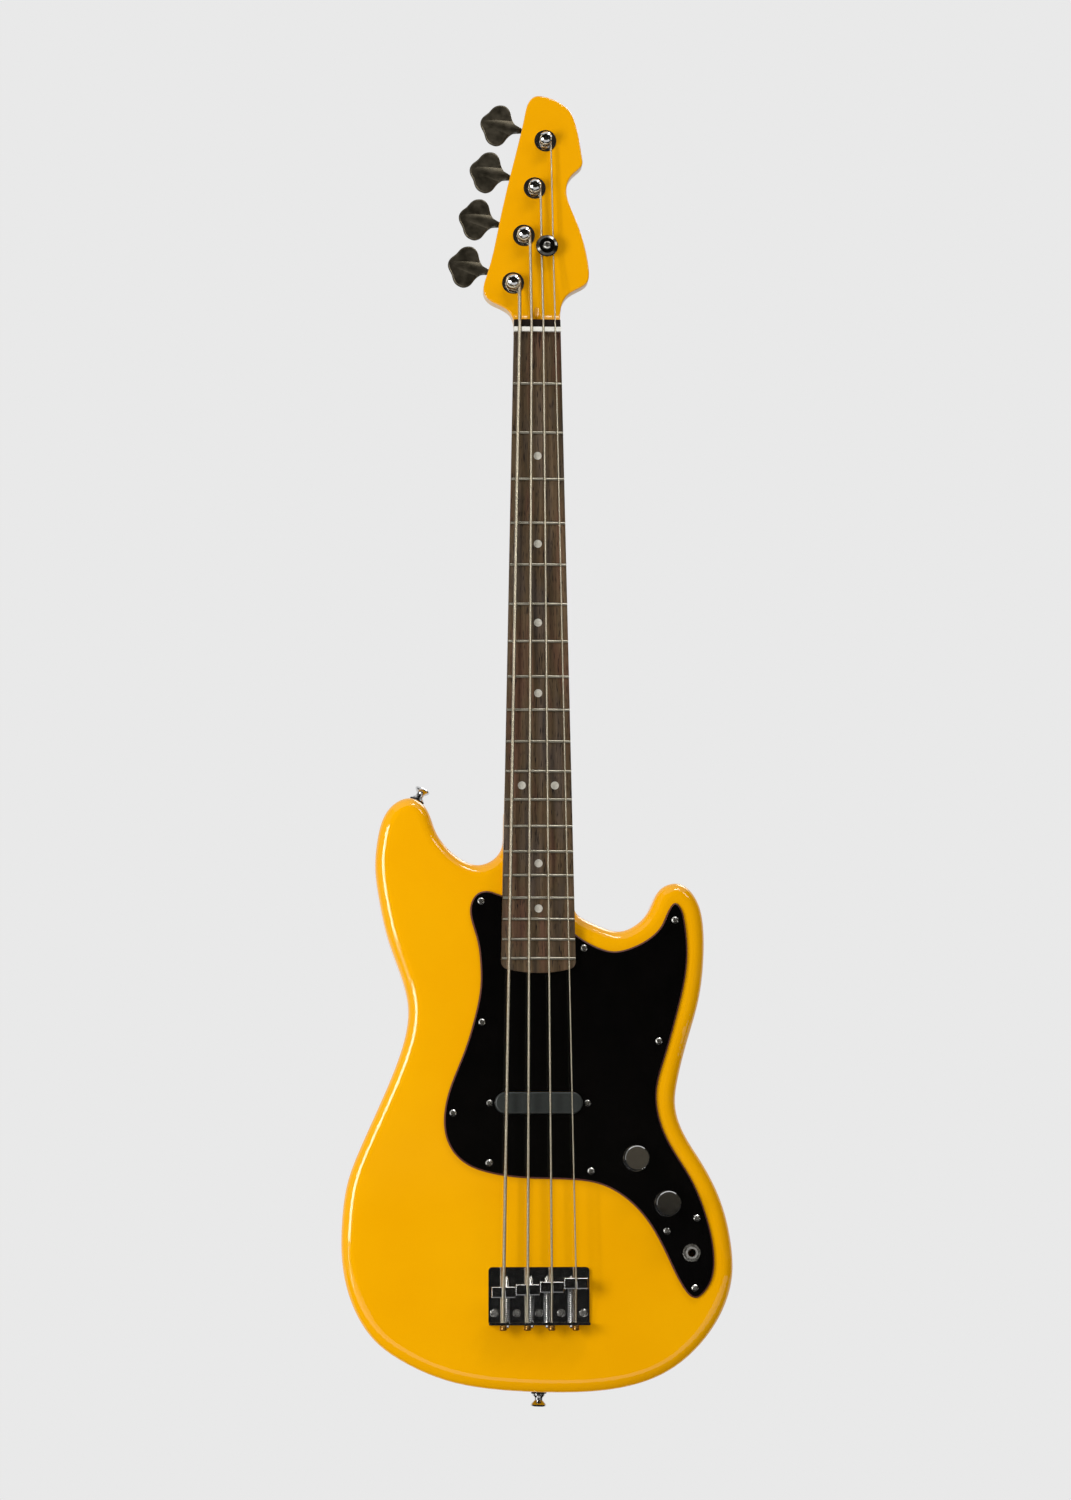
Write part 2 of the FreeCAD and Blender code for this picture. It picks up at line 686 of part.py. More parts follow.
BODY_FRONT = "(heel_depth - pocket_depth)"
BODY_BACK = f"({BODY_FRONT} + body_thickness)"
BODY_MIDDLE = f"({BODY_FRONT} + body_thickness / 2)"
GUARD_FRONT = f"({BODY_FRONT} - guard_thickness)"
PLATE_TOP = f"({BODY_FRONT} - bridge_thickness)"
HEAD_BACK = "(head_drop + head_thickness)"
LAST_FRET = fret(FRET_COUNT)
BOARD_FALL = "(bridge_end_width * bridge_end_width / board_radius / 10)"
BODY_STRETCH = f"(body_width / {DRAWN_BODY_WIDTH})"
EDGE_ROUND = f"(edge_round * {BODY_STRETCH} * {BODY_STRETCH} * {DRAWN_BODY_LENGTH} / body_length)"
HEEL_END = f"({LAST_FRET} - heel_tail)"
BRIDGE_BACK = "(-scale_length + bridge_front - bridge_depth)"
WALL_FRONT = f"({BRIDGE_BACK} + bridge_thickness)"
STRING_HOLE_Y = f"({PLATE_TOP} - string_hole_height)"
INTONATION_Y = f"({PLATE_TOP} - intonation_height)"
HEEL_TOP = along("heel_rise")
PLATE_Z = f"({HEEL_END} + plate_from_heel_end)"


def saddle_front(number):
    return f"(-scale_length - setback_{STRINGS[number]})"


def saddle_x(number):
    return f"({STRING_PLACES[number]} * bridge_string_spacing)"


def intonation_x(number):
    side = 1 if STRING_PLACES[number] < 0 else -1
    return f"({saddle_x(number)} + {side} * intonation_offset)"


# Screws: turned about Y, seated at Y 0, with the head towards -Y


def cross_recess(body, head, head_height):
    """A cross-shaped driver recess in a screw head."""
    arm = f"(({head}) * 0.28)"
    blade = f"(({head}) * 0.075)"
    drawing = front_sketch(body, f"-({head_height})")
    quarter = [(arm, blade), (blade, blade), (blade, arm)]
    corners = []
    for x_sign, y_sign, order in ((1, 1, 1), (-1, 1, -1), (-1, -1, 1), (1, -1, -1)):
        corners += [(f"{x_sign} * {x}", f"{y_sign} * {y}") for x, y in quarter[::order]]
    draw_polygon(drawing, corners)
    pocket(body, drawing, f"({head_height}) * 0.6")


def screw(label, head, head_height, shank, length):
    """A round-headed screw with a tapered point and a cross recess."""
    body = turned(label, [
        ("0", f"-({head_height})"),
        (f"({head}) * 0.3", f"-({head_height})"),
        (f"({head}) * 0.45", f"-({head_height}) * 0.6"),
        (f"({head}) / 2", "0"),
        (f"({shank}) / 2", "0"),
        (f"({shank}) / 2", f"({length}) - ({shank})"),
        ("0", length),
    ])
    cross_recess(body, head, head_height)
    return body


def at_front(x, y, z):
    """Place for a screw driven in from the front."""
    return Placement(Vector(value(x), value(y), value(z)), Rotation())


def from_back(x, y, z):
    """Place for a screw driven in from the back."""
    return Placement(Vector(value(x), value(y), value(z)), Rotation(PLUS_Z, 180))


# Body of solid wood

BODY_OUTLINE = [
    (-29, 343), (-36, 334.2), (-48, 330.2), (-61, 334.6), (-71.5, 343), (-82, 358.5),
    (-89.3, 376), (-100.5, 383.6), (-113, 380.2), (-122.3, 369.5), (-127.7, 351), (-129.6, 329),
    (-126.3, 302), (-118.8, 269.5), (-107.6, 238), (-102.9, 214), (-106, 190.3), (-113.9, 166.4),
    (-127.4, 134.7), (-141.5, 103.1), (-150.2, 79.4), (-154.8, 48), (-155.3, 27), (-152.2, 0.9),
    (-144.2, -22.6), (-128.4, -46), (-107, -61.7), (-69.9, -77.4), (-25, -84.6), (20, -86.3),
    (61.3, -83.5), (101.9, -70.3), (129.9, -47), (147.3, -19.6), (154, 6), (153, 30), (145.1, 63.2),
    (129.3, 94.9), (115.1, 118.7), (109.4, 139), (111.4, 158.5), (119.6, 190.4), (128.7, 222.4),
    (132.9, 254.5), (132.8, 282), (127.4, 303), (113, 315.6), (98.8, 311.2), (89.7, 294.7), (79, 282.6),
    (65, 277.2), (50, 281), (39, 285.9), (31.6, 291.2), (28.4, 299), (27.5, 312),
    (27.3, 335), (26.6, 350), (23, 361), (15, 368.5), (5, 371), (-5, 371), (-15, 368.5), (-23, 361.5), (-26.6, 353.5),
]
PICKUP_Z = along("pickup_rise")
CONTROLS = {"volume": ("volume_x", "volume_rise"), "tone": ("tone_x", "tone_rise"), "jack": ("jack_x", "jack_rise")}
GUARD_SCREWS = [
    (-45.6, 300.3), (36.4, 263), (109.2, 285.5), (-44.8, 204.1), (95.8, 189.2), (-67.7, 132.4),
    (-39.3, 93.1), (41.3, 86.7), (101.2, 39.6), (125, 49.7), (123, -5),
]
HORN_BUTTON = (-96, 382.8)
END_BUTTON = (1, -86)


def control_spot(name):
    x, rise = CONTROLS[name]
    return across(x), along(rise)


def body_curve():
    points = [Vector(value(across(x)), value(along(rise)), 0) for x, rise in BODY_OUTLINE]
    return smooth_curve(points, closed=True)


def button_seat(spot):
    """Place of a strap button: nearest point of the body's edge, with its axis square to the edge."""
    x, rise = spot
    curve = body_curve()
    parameter = curve.parameter(Vector(value(across(x)), value(along(rise)), 0))
    point = curve.value(parameter)
    way = curve.tangent(parameter)[0]
    outward = Vector(way.y, 0, -way.x)
    if outward.dot(Vector(point.x, 0, point.y - value("-scale_length"))) < 0:
        outward = outward * -1
    place = Vector(point.x, value(BODY_MIDDLE), point.y)
    return Placement(place, Rotation(Vector(0, -1, 0), outward))


def slot_corners(start, end, width):
    """A straight channel between two places, as a polygon with its ends past both."""
    (x1, z1), (x2, z2) = [(value(x), value(z)) for x, z in (start, end)]
    length = math.hypot(x2 - x1, z2 - z1)
    side_x = f"({width}) / 2 * {(z2 - z1) / length}"
    side_z = f"({width}) / 2 * {(x2 - x1) / length}"
    return [
        (f"{start[0]} + {side_x}", f"{start[1]} - {side_z}"),
        (f"{end[0]} + {side_x}", f"{end[1]} - {side_z}"),
        (f"{end[0]} - {side_x}", f"{end[1]} + {side_z}"),
        (f"{start[0]} - {side_x}", f"{start[1]} + {side_z}"),
    ]


def neck_slot(gap, top, end):
    """Corners of the tapered opening that takes the neck."""
    return [
        (f"-{half_width(top)} - {gap}", top),
        (f"-{half_width(end)} - {gap}", end),
        (f"{half_width(end)} + {gap}", end),
        (f"{half_width(top)} + {gap}", top),
    ]


def neck_screw_spots():
    return [
        (f"{x} * neck_screw_across / 2", f"{PLATE_Z} + {z} * neck_screw_along / 2")
        for x in (-1, 1)
        for z in (-1, 1)
    ]


def bridge_screw_spots():
    return [(f"{step} * bridge_screw_pitch", f"{BRIDGE_BACK} + bridge_screw_inset") for step in (-2, -1, 0, 1, 2)]


def guard_screw_spots():
    return [(across(x), along(rise)) for x, rise in GUARD_SCREWS]


def drill(body, depth, spots, radius, length):
    """Round holes from the front, all in one sketch."""
    drawing = front_sketch(body, depth)
    for x, z in spots:
        draw_circle(drawing, x, z, radius)
    pocket(body, drawing, length)


def make_body():
    body = new_body("body_wood")
    drawing = front_sketch(body, BODY_FRONT)
    for piece in curve_pieces(body_curve(), OUTLINE_PIECES):
        drawing.addGeometry(piece, False)
    pad(body, drawing, "body_thickness", backwards=True)
    faces = (value(BODY_FRONT), value(BODY_BACK))
    soften(body, EDGE_ROUND, lambda edge: any(lies_at(edge, "y", face) for face in faces))

    neck_pocket = front_sketch(body, BODY_FRONT)
    draw_polygon(neck_pocket, neck_slot("pocket_gap", f"{HEEL_TOP} + heel_corner", f"{HEEL_END} - pocket_gap"))
    pocket(body, neck_pocket, "pocket_depth")
    pickup_cavity = front_sketch(body, BODY_FRONT)
    reach = "(pickup_screw_spacing / 2 + pickup_ear_width / 2 + pickup_cavity_margin)"
    deep = "(pickup_width / 2 + pickup_cavity_margin)"
    draw_polygon(pickup_cavity, [
        (f"-{reach}", f"{PICKUP_Z} - {deep}"),
        (reach, f"{PICKUP_Z} - {deep}"),
        (reach, f"{PICKUP_Z} + {deep}"),
        (f"-{reach}", f"{PICKUP_Z} + {deep}"),
    ])
    pocket(body, pickup_cavity, "pickup_cavity_depth")
    for name, radius in (("volume", "pot_diameter"), ("tone", "pot_diameter"), ("jack", "pot_diameter")):
        drill(body, BODY_FRONT, [control_spot(name)], f"{radius} / 2 + control_cavity_margin", "control_cavity_depth")
    channels = [
        ((f"{reach} - control_cavity_margin", PICKUP_Z), control_spot("volume")),
        (control_spot("volume"), control_spot("tone")),
        (control_spot("tone"), control_spot("jack")),
    ]
    for start, end in channels:
        channel = front_sketch(body, BODY_FRONT)
        draw_polygon(channel, slot_corners(start, end, "wire_channel_width"))
        pocket(body, channel, "wire_channel_depth")
    drill(body, BODY_FRONT, guard_screw_spots(), "guard_screw_diameter / 2 + screw_gap", "guard_screw_length")
    drill(body, BODY_FRONT, bridge_screw_spots(), "wood_screw_diameter / 2 + screw_gap", "bridge_screw_length")
    drill(body, BODY_FRONT, neck_screw_spots(), "neck_screw_diameter / 2 + screw_gap", "body_thickness")

    holes = []
    for spot in (HORN_BUTTON, END_BUTTON):
        seat = button_seat(spot)
        hole = doc.addObject("Part::Cylinder", "strap_button_hole")
        bind(hole, Radius="button_screw_diameter / 2 + screw_gap", Height="button_screw_length * 2")
        middle = Placement(Vector(0, -value("button_screw_length"), 0), TURN_TO["y"])
        hole.Placement = seat.multiply(middle)
        holes.append(hole)
    node("body", cut("body", body, *holes))


# Neck with its headstock

HEAD_OUTLINE = [
    (-18.6, 2), (-19, 11.5), (-22.6, 19), (-31.5, 24.6), (-39.4, 29.2), (-43, 35.5), (-42.6, 42.5),
    (-40.2, 50.2), (-30, 94.1), (-18.3, 144.9), (-9.2, 184.2), (-6.4, 194), (-1.2, 199.4), (6.5, 199.5),
    (19.5, 194.4), (27.4, 187.6), (31.4, 179.5), (35, 164.8), (37.5, 149), (37.4, 142), (34.2, 138.2),
    (28.3, 132.4), (25, 125), (25.1, 116), (28.3, 106), (33.1, 94.3), (38.8, 76.8), (42, 61),
    (42.9, 51.5), (41.4, 44.2), (35.5, 39.5), (27.4, 35), (21.8, 28.4), (19.5, 20), (19, 11.5), (18.6, 2),
]
NECK_CURVE_STEPS = 16
ROUND_BACK = 2.2
SQUARE_BACK = 6


def neck_section(z, depth, fullness, inset=0):
    """Closed outline across the neck: flat under the board, a superellipse behind."""
    wide = value(half_width(z)) - inset
    points = []
    for step in range(NECK_CURVE_STEPS + 1):
        angle = math.pi * step / NECK_CURVE_STEPS
        swing = math.cos(angle)
        x = wide * math.copysign(abs(swing) ** (2 / fullness), swing)
        points.append(Vector(x, depth * math.sin(angle) ** (2 / fullness), z))
    points[-1] = Vector(-wide, 0, z)
    back = smooth_curve(points).toShape()
    front = Part.LineSegment(points[-1], points[0]).toShape()
    return Part.Wire([back, front])


def head_blank():
    """Headstock plate with rounded edges, a scooped face and a swept back."""
    points = [Vector(x, 0, z) for x, z in HEAD_OUTLINE]
    edges = [smooth_curve(points).toShape(), Part.LineSegment(points[-1], points[0]).toShape()]
    back = value(HEAD_BACK)
    drop = value("head_drop")
    plate = Part.Face(Part.Wire(edges)).extrude(PLUS_Y * back)
    rim = [edge for edge in plate.Edges if lies_at(edge, "y", back) and edge.Length > value("nut_width") * 2]
    plate = plate.makeFillet(value("head_round"), rim)
    wide = value("bridge_end_width") * 2
    ramp = value("head_ramp")
    board_end = value("board_tail")
    foot = board_end + math.sqrt(ramp * ramp - (ramp - drop) ** 2)
    tall = points[-1].z + value("scale_length")
    face_cut = Part.makeBox(wide, drop, tall, Vector(-wide / 2, 0, foot))
    scoop = Part.makeCylinder(ramp, wide, Vector(-wide / 2, drop - ramp, foot), PLUS_X)
    sweep = value("head_sweep")
    neck_back = value("neck_depth_nut")
    behind = Part.makeCylinder(sweep, wide, Vector(-wide / 2, neck_back + sweep, board_end), PLUS_X)
    below = Part.makeBox(wide, back, board_end + sweep, Vector(-wide / 2, neck_back, -sweep))
    keep_below = below.common(Part.makeBox(wide, back * 2, sweep + board_end, Vector(-wide / 2, 0, -sweep)))
    plate = plate.cut(face_cut.fuse(scoop)).cut(behind.fuse(keep_below))
    front_rim = [
        edge for edge in plate.Edges
        if lies_at(edge, "y", drop) and edge.Length > value("nut_width") * 2
    ]
    return plate.makeFillet(value("head_round"), front_rim) if front_rim else plate


def make_neck():
    heel_top = value(HEEL_TOP)
    blend = value("heel_blend")
    heel_end = value(HEEL_END)
    board_end = value("board_tail")
    depth_nut = value("neck_depth_nut")
    depth_heel = value("neck_depth_heel")
    shaft = Part.makeLoft([
        neck_section(board_end, depth_nut, ROUND_BACK),
        neck_section(heel_top + blend, depth_heel, ROUND_BACK),
    ], True, True)
    shoulder = Part.makeLoft([
        neck_section(heel_top + blend, depth_heel, ROUND_BACK),
        neck_section(heel_top + blend / 2, depth_heel, (ROUND_BACK + SQUARE_BACK) / 2),
        neck_section(heel_top, value("heel_depth") - value("pocket_gap"), SQUARE_BACK),
    ], True, False)
    heel_corners = [
        Vector(-value(half_width(HEEL_TOP)), 0, heel_top),
        Vector(-value(half_width(HEEL_END)), 0, heel_end),
        Vector(value(half_width(HEEL_END)), 0, heel_end),
        Vector(value(half_width(HEEL_TOP)), 0, heel_top),
    ]
    heel = Part.Face(Part.makePolygon(heel_corners + heel_corners[:1])).extrude(PLUS_Y * value("heel_depth"))
    blank = feature("neck_blank", head_blank().fuse([shaft, shoulder, heel]).removeSplitter())

    channel = block(
        "truss_channel",
        ("-truss_channel_width / 2", "truss_channel_width / 2"),
        ("-truss_channel_depth", "truss_channel_depth"),
        (f"{HEEL_END} + truss_rod_end - truss_rod_diameter", "truss_nut_start + truss_nut_length"),
    )
    tools = [channel, truss_scoop()]
    for x, z in neck_screw_spots():
        tools.append(bar(
            "heel_pilot", "y", "neck_screw_diameter / 2 + screw_gap",
            "heel_depth - neck_screw_bite - neck_screw_diameter", "heel_depth + 1", (x, z),
        ))
    for number in range(len(STRINGS)):
        post_x, post_z = post_spot(number)
        tools.append(bar(
            "bushing_hole", "y", "bushing_shank_diameter / 2 + seat_gap", "head_drop - 1", f"{HEAD_BACK} + 1",
            (post_x, post_z),
        ))
        for place in tuner_screw_places(number):
            pilot = doc.addObject("Part::Cylinder", "tuner_pilot")
            bind(pilot, Radius="tuner_screw_diameter / 2 + screw_gap", Height="tuner_screw_length")
            pilot.Placement = place.multiply(Placement(Vector(), TURN_TO["y"]))
            tools.append(pilot)
    tools.append(bar(
        "tree_pilot", "y", "wood_screw_diameter / 2 + screw_gap", "head_drop - 1",
        "head_drop - tree_height - tree_thickness + tree_screw_length + 1", ("tree_x", "tree_z"),
    ))
    node("neck", cut("neck", blank, *tools))


def truss_scoop():
    """Round groove from the rod's nut up to the face of the headstock, where it runs out."""
    radius = value("truss_scoop_width") / 2
    start_z = value("truss_nut_start + truss_nut_length")
    start_y = value("truss_rod_depth")
    rise = start_y + radius - value("head_drop")
    run = Vector(0, -rise, value("truss_scoop_top") - start_z)
    groove = Part.makeCylinder(radius, run.Length * 2, Vector(0, start_y, start_z) - run / 10, run)
    return feature("truss_scoop", groove)


def make_truss_rod():
    end = f"{HEEL_END} + truss_rod_end"
    rod = bar(
        "truss_rod", "z", "truss_rod_diameter / 2", end, "truss_nut_start + truss_nut_length - truss_key_depth - 1",
        ("0", "truss_rod_depth"),
    )
    node("truss_rod", rod)
    top = "truss_nut_start + truss_nut_length"
    barrel = bar("truss_barrel", "z", "truss_nut_diameter / 2", "truss_nut_start", top, ("0", "truss_rod_depth"))
    bore = bar(
        "truss_bore", "z", "truss_rod_diameter / 2 + running_gap", "truss_nut_start - 1",
        f"{top} - truss_key_depth - 0.8", ("0", "truss_rod_depth"),
    )
    socket = hexagon("truss_socket", "z", "truss_key_width", f"{top} - truss_key_depth", f"{top} + 1",
                     ("0", "truss_rod_depth"))
    node("truss_rod_nut", cut("truss_rod_nut", barrel, bore, socket))


# Fingerboard, frets, markers and nut


def board_curve(name, thickness):
    """Round bar whose front is the curved playing surface."""
    return bar(name, "z", "board_radius", f"{LAST_FRET} * 2", "scale_length", ("0", f"board_radius - ({thickness})"))


def dot_spots():
    spots = [("0", f"({fret(number)} + {fret(number - 1)}) / 2") for number in DOT_FRETS]
    octave = f"({fret(OCTAVE_FRET)} + {fret(OCTAVE_FRET - 1)}) / 2"
    return spots + [(f"{side} * double_dot_spacing / 2", octave) for side in (-1, 1)]


def make_board():
    body = new_body("board_plan")
    drawing = front_sketch(body, "0")
    end = f"({LAST_FRET} - board_overhang + board_arch)"
    left = Vector(-value(half_width(end)), value(end), 0)
    right = Vector(value(half_width(end)), value(end), 0)
    tip = Vector(0, value(end) - value("board_arch"), 0)
    top_left = Vector(-value(half_width("board_tail")), value("board_tail"), 0)
    top_right = Vector(value(half_width("board_tail")), value("board_tail"), 0)
    drawing.addGeometry(Part.LineSegment(top_right, top_left), False)
    drawing.addGeometry(Part.LineSegment(top_left, left), False)
    drawing.addGeometry(Part.Arc(left, tip, right), False)
    drawing.addGeometry(Part.LineSegment(right, top_right), False)
    pad(body, drawing, "board_thickness + board_overhang")
    soften(body, "board_corner", lambda edge: runs_along(edge, PLUS_Y) and edge.CenterOfMass.z < value(end) + 1)
    curved = common("board_curved", body, board_curve("board_front", "board_thickness"))
    tools = [block(
        "nut_slot", ("-nut_width", "nut_width"), ("-board_thickness * 2", "-board_thickness + nut_seat"),
        ("0", "nut_thickness"),
    )]
    for number in range(1, FRET_COUNT + 1):
        tools.append(block(
            "fret_slot", ("-bridge_end_width", "bridge_end_width"),
            ("-board_thickness * 2", f"-board_thickness + fret_tang_depth + {BOARD_FALL}"),
            (f"{fret(number)} - fret_tang_width / 2 - seat_gap", f"{fret(number)} + fret_tang_width / 2 + seat_gap"),
        ))
    for x, z in dot_spots():
        tools.append(bar(
            "dot_hole", "y", "dot_diameter / 2 + seat_gap", "-board_thickness * 2", "-board_thickness + dot_depth",
            (x, z),
        ))
    node("fingerboard", cut("fingerboard", curved, *tools))

    dots = fuse("dot_bars", *[
        bar("dot", "y", "dot_diameter / 2", "-board_thickness * 2", "-board_thickness + dot_depth", spot)
        for spot in dot_spots()
    ])
    node("fret_markers", common("fret_markers", dots, board_curve("dot_front", "board_thickness")))


def make_frets():
    """Each fret is a T-shaped wire, bent to the curve of the board."""
    radius = value("board_radius")
    axis_y = radius - value("board_thickness")
    crown = value("fret_crown_width") / 2
    tang = value("fret_tang_width") / 2
    seat = -value("board_thickness") - value("seat_gap")
    wires = []
    for number in range(1, FRET_COUNT + 1):
        z = value(fret(number))
        half = value(half_width(z)) - value("fret_end_inset")
        left = Vector(0, seat, z - crown)
        right = Vector(0, seat, z + crown)
        top = Vector(0, seat - value("fret_crown_height"), z)
        foot = seat + value("fret_tang_depth")
        corners = [
            right,
            Vector(0, seat, z + tang),
            Vector(0, foot, z + tang),
            Vector(0, foot, z - tang),
            Vector(0, seat, z - tang),
            left,
        ]
        edges = [Part.Arc(left, top, right).toShape()]
        edges += [Part.LineSegment(start, end).toShape() for start, end in zip(corners, corners[1:])]
        swing = math.degrees(math.asin(half / radius))
        section = Part.Face(Part.Wire(edges))
        section.rotate(Vector(0, axis_y, z), PLUS_Z, -swing)
        wires.append(section.revolve(Vector(0, axis_y, z), PLUS_Z, 2 * swing))
    node("frets", feature("frets", Part.makeCompound(wires)))


def make_nut():
    blank = block(
        "nut_blank", ("-nut_width / 2", "nut_width / 2"),
        ("-board_thickness - nut_height", "-board_thickness + nut_seat - seat_gap"),
        ("seat_gap", "nut_thickness - seat_gap"),
    )
    tools = []
    for number, name in enumerate(STRINGS):
        x = f"({STRING_PLACES[number]} * nut_string_spacing)"
        radius = f"(string_{name}_diameter / 2 + string_clearance)"
        middle = f"(-board_thickness - nut_lift - string_{name}_diameter / 2)"
        tools.append(bar("nut_groove", "z", radius, "-1", "nut_thickness + 1", (x, middle)))
        tools.append(block(
            "nut_groove_top", (f"{x} - {radius}", f"{x} + {radius}"),
            ("-board_thickness * 2 - nut_height", middle), ("-1", "nut_thickness + 1"),
        ))
    node("nut", cut("nut", blank, *tools))


# Tuners, in a local frame: post along Y from the headstock face, key along -X, tip of the head along Z


def post_spot(number):
    step = f"{number} * post_pitch"
    return f"(first_post_x + {step} * sin(post_line_tilt))", f"(first_post_z + {step} * cos(post_line_tilt))"


def tuner_place(number):
    x, z = post_spot(number)
    return Placement(Vector(value(x), value("head_drop"), value(z)), Rotation(PLUS_Y, value("post_line_tilt")))


BUSHING_TOP = "(bushing_flange_thickness + bushing_hex_height)"
PLATE_BACK = "(head_thickness + tuner_plate_thickness)"
WORM_OUTER = "(worm_thread_offset + worm_thread_radius)"
WORM_Y = f"({PLATE_BACK} + worm_floor_gap + {WORM_OUTER})"
WORM_Z = "(gear_pitch_radius + worm_thread_offset)"
GEAR_FRONT = f"({WORM_Y} - gear_thickness / 2)"
GEAR_BACK = f"({WORM_Y} + gear_thickness / 2)"
TUNER_SCREW_SPOTS = (("-1", "-1"), ("1", "-1"), ("-1", "1"), ("1", "1"))
TUNER_SCREW_INSET = 2.6


def tuner_screw_places(number):
    """Places of the four plate screws, driven in from the back of the headstock."""
    places = []
    for x, z in TUNER_SCREW_SPOTS:
        across_plate = value(f"{x} * (tuner_plate_inner - {TUNER_SCREW_INSET})")
        edge = "tuner_plate_above" if z == "1" else "tuner_plate_below"
        along_plate = value(f"{z} * ({edge} - {TUNER_SCREW_INSET})")
        spot = Placement(Vector(across_plate, value(PLATE_BACK), along_plate), Rotation(PLUS_Z, 180))
        places.append(tuner_place(number).multiply(spot))
    return places


def make_bushing():
    flange = bar("bushing_flange", "y", "bushing_flange_diameter / 2", "-bushing_flange_thickness", "0", ("0", "0"))
    hexagonal = hexagon("bushing_hex", "y", "bushing_hex_width", f"-{BUSHING_TOP}", "-bushing_flange_thickness",
                        ("0", "0"))
    shank = bar("bushing_shank", "y", "bushing_shank_diameter / 2", "0", "bushing_shank_length", ("0", "0"))
    bore = bar("bushing_bore", "y", "post_shaft_diameter / 2 + running_gap", f"-{BUSHING_TOP} - 1",
               "bushing_shank_length + 1", ("0", "0"))
    return cut("bushing", fuse("bushing_blank", flange, hexagonal, shank), bore)


def make_post():
    """Post with its spool, domed and slotted cap, and the seat of the wheel."""
    top = "-post_height"
    bore = "post_bore_diameter / 2"
    cap = "post_cap_diameter / 2"
    shaft = "post_shaft_diameter / 2"
    pilot = "gear_screw_diameter / 2 + screw_gap"
    body = turned("post", [
        ("0", f"{top} + post_bore_depth"),
        (bore, f"{top} + post_bore_depth"),
        (bore, top),
        (f"{cap} * 0.55", top),
        (f"{cap} * 0.85", f"{top} + post_cap_height * 0.25"),
        (cap, f"{top} + post_cap_height * 0.6"),
        (cap, f"{top} + post_cap_height * 0.8"),
        ("post_spool_diameter / 2", f"{top} + post_cap_height * 1.3"),
        ("post_spool_diameter / 2", f"-{BUSHING_TOP}"),
        (shaft, f"-{BUSHING_TOP}"),
        (shaft, GEAR_FRONT),
        ("gear_seat_diameter / 2", GEAR_FRONT),
        ("gear_seat_diameter / 2", GEAR_BACK),
        (pilot, GEAR_BACK),
        (pilot, f"{GEAR_BACK} - gear_screw_length - 1"),
        ("0", f"{GEAR_BACK} - gear_screw_length - 1"),
    ])
    slot = front_sketch(body, top)
    draw_polygon(slot, [
        ("-post_cap_diameter", "-post_slot_width / 2"),
        ("post_cap_diameter", "-post_slot_width / 2"),
        ("post_cap_diameter", "post_slot_width / 2"),
        ("-post_cap_diameter", "post_slot_width / 2"),
    ])
    pocket(body, slot, "post_slot_depth")
    return body


def make_gear():
    """Worm wheel with round gaps, set askew like the worm's thread."""
    disc = bar("gear_disc", "y", "gear_tip_radius", GEAR_FRONT, GEAR_BACK, ("0", "0"))
    bore = bar("gear_bore", "y", "gear_seat_diameter / 2 + seat_gap", f"{GEAR_FRONT} - 1", f"{GEAR_BACK} + 1",
               ("0", "0"))
    teeth = round(value("gear_teeth"))
    pitch = value("gear_pitch_radius")
    lead = math.degrees(math.atan(pitch / (teeth * value("worm_thread_offset"))))
    long = value("gear_thickness") * 3
    gaps = []
    for number in range(teeth):
        groove = doc.addObject("Part::Cylinder", "gear_gap")
        bind(groove, Radius="gear_groove_radius", Height="gear_thickness * 3")
        upright = Placement(Vector(0, -long / 2, 0), TURN_TO["y"])
        askew = Placement(Vector(0, value(WORM_Y), pitch), Rotation(PLUS_Z, -lead))
        around = Placement(Vector(), Rotation(PLUS_Y, FULL_TURN * number / teeth))
        groove.Placement = around.multiply(askew).multiply(upright)
        gaps.append(groove)
    return cut("gear", disc, bore, *gaps)


KEY_OUTLINE = [
    (0, 0.137), (0.06, 0.165), (0.135, 0.255), (0.205, 0.4), (0.262, 0.59), (0.312, 0.78), (0.39, 0.925),
    (0.49, 0.998), (0.585, 0.985), (0.68, 0.92), (0.76, 0.79), (0.805, 0.66), (0.845, 0.52), (0.9, 0.39),
    (0.962, 0.24), (1, 0),
]


SWELL_PLAN = [(0, 0.11), (0.13, 0.2), (0.2, 0.35), (0.24, 0.47), (0.86, 0.46), (0.93, 0.27)]


def key_swell(length, half, root, thick):
    """Raised middle of the key: highest at its root, sunk into the flat at its tip."""
    round_radius = value("key_swell_radius")
    rise = value("key_barrel_diameter") / 2
    plan = [Vector(root - share * length, -rise, wide * half) for share, wide in SWELL_PLAN]
    plan += [Vector(point.x, point.y, -point.z) for point in reversed(plan)]
    swell = Part.Face(Part.makePolygon(plan + plan[:1])).extrude(PLUS_Y * 2 * rise)
    for side in (-1, 1):
        start = Vector(root + 1, side * (rise - round_radius), 0)
        end = Vector(root - length - 1, side * (thick * 0.45 - round_radius), 0)
        swell = swell.common(Part.makeCylinder(round_radius, (end - start).Length, start, end - start))
    return swell


def key_leaf():
    """Clover-shaped key with a raised middle, from its root outwards along -X."""
    length = value("key_length")
    half = value("key_width") / 2
    root = -value("key_reach")
    thick = value("key_thickness")
    side = [Vector(root - share * length, 0, rise * half) for share, rise in KEY_OUTLINE]
    rim = side + [Vector(point.x, 0, -point.z) for point in side[-2::-1]]
    edges = [smooth_curve(rim).toShape(), Part.LineSegment(rim[-1], rim[0]).toShape()]
    leaf = Part.Face(Part.Wire(edges)).extrude(PLUS_Y * thick)
    leaf.translate(Vector(0, -thick / 2, 0))
    curved = [edge for edge in leaf.Edges if edge.Length > length]
    leaf = leaf.makeFillet(value("key_round"), curved)
    return leaf.fuse(key_swell(length, half, root, thick))


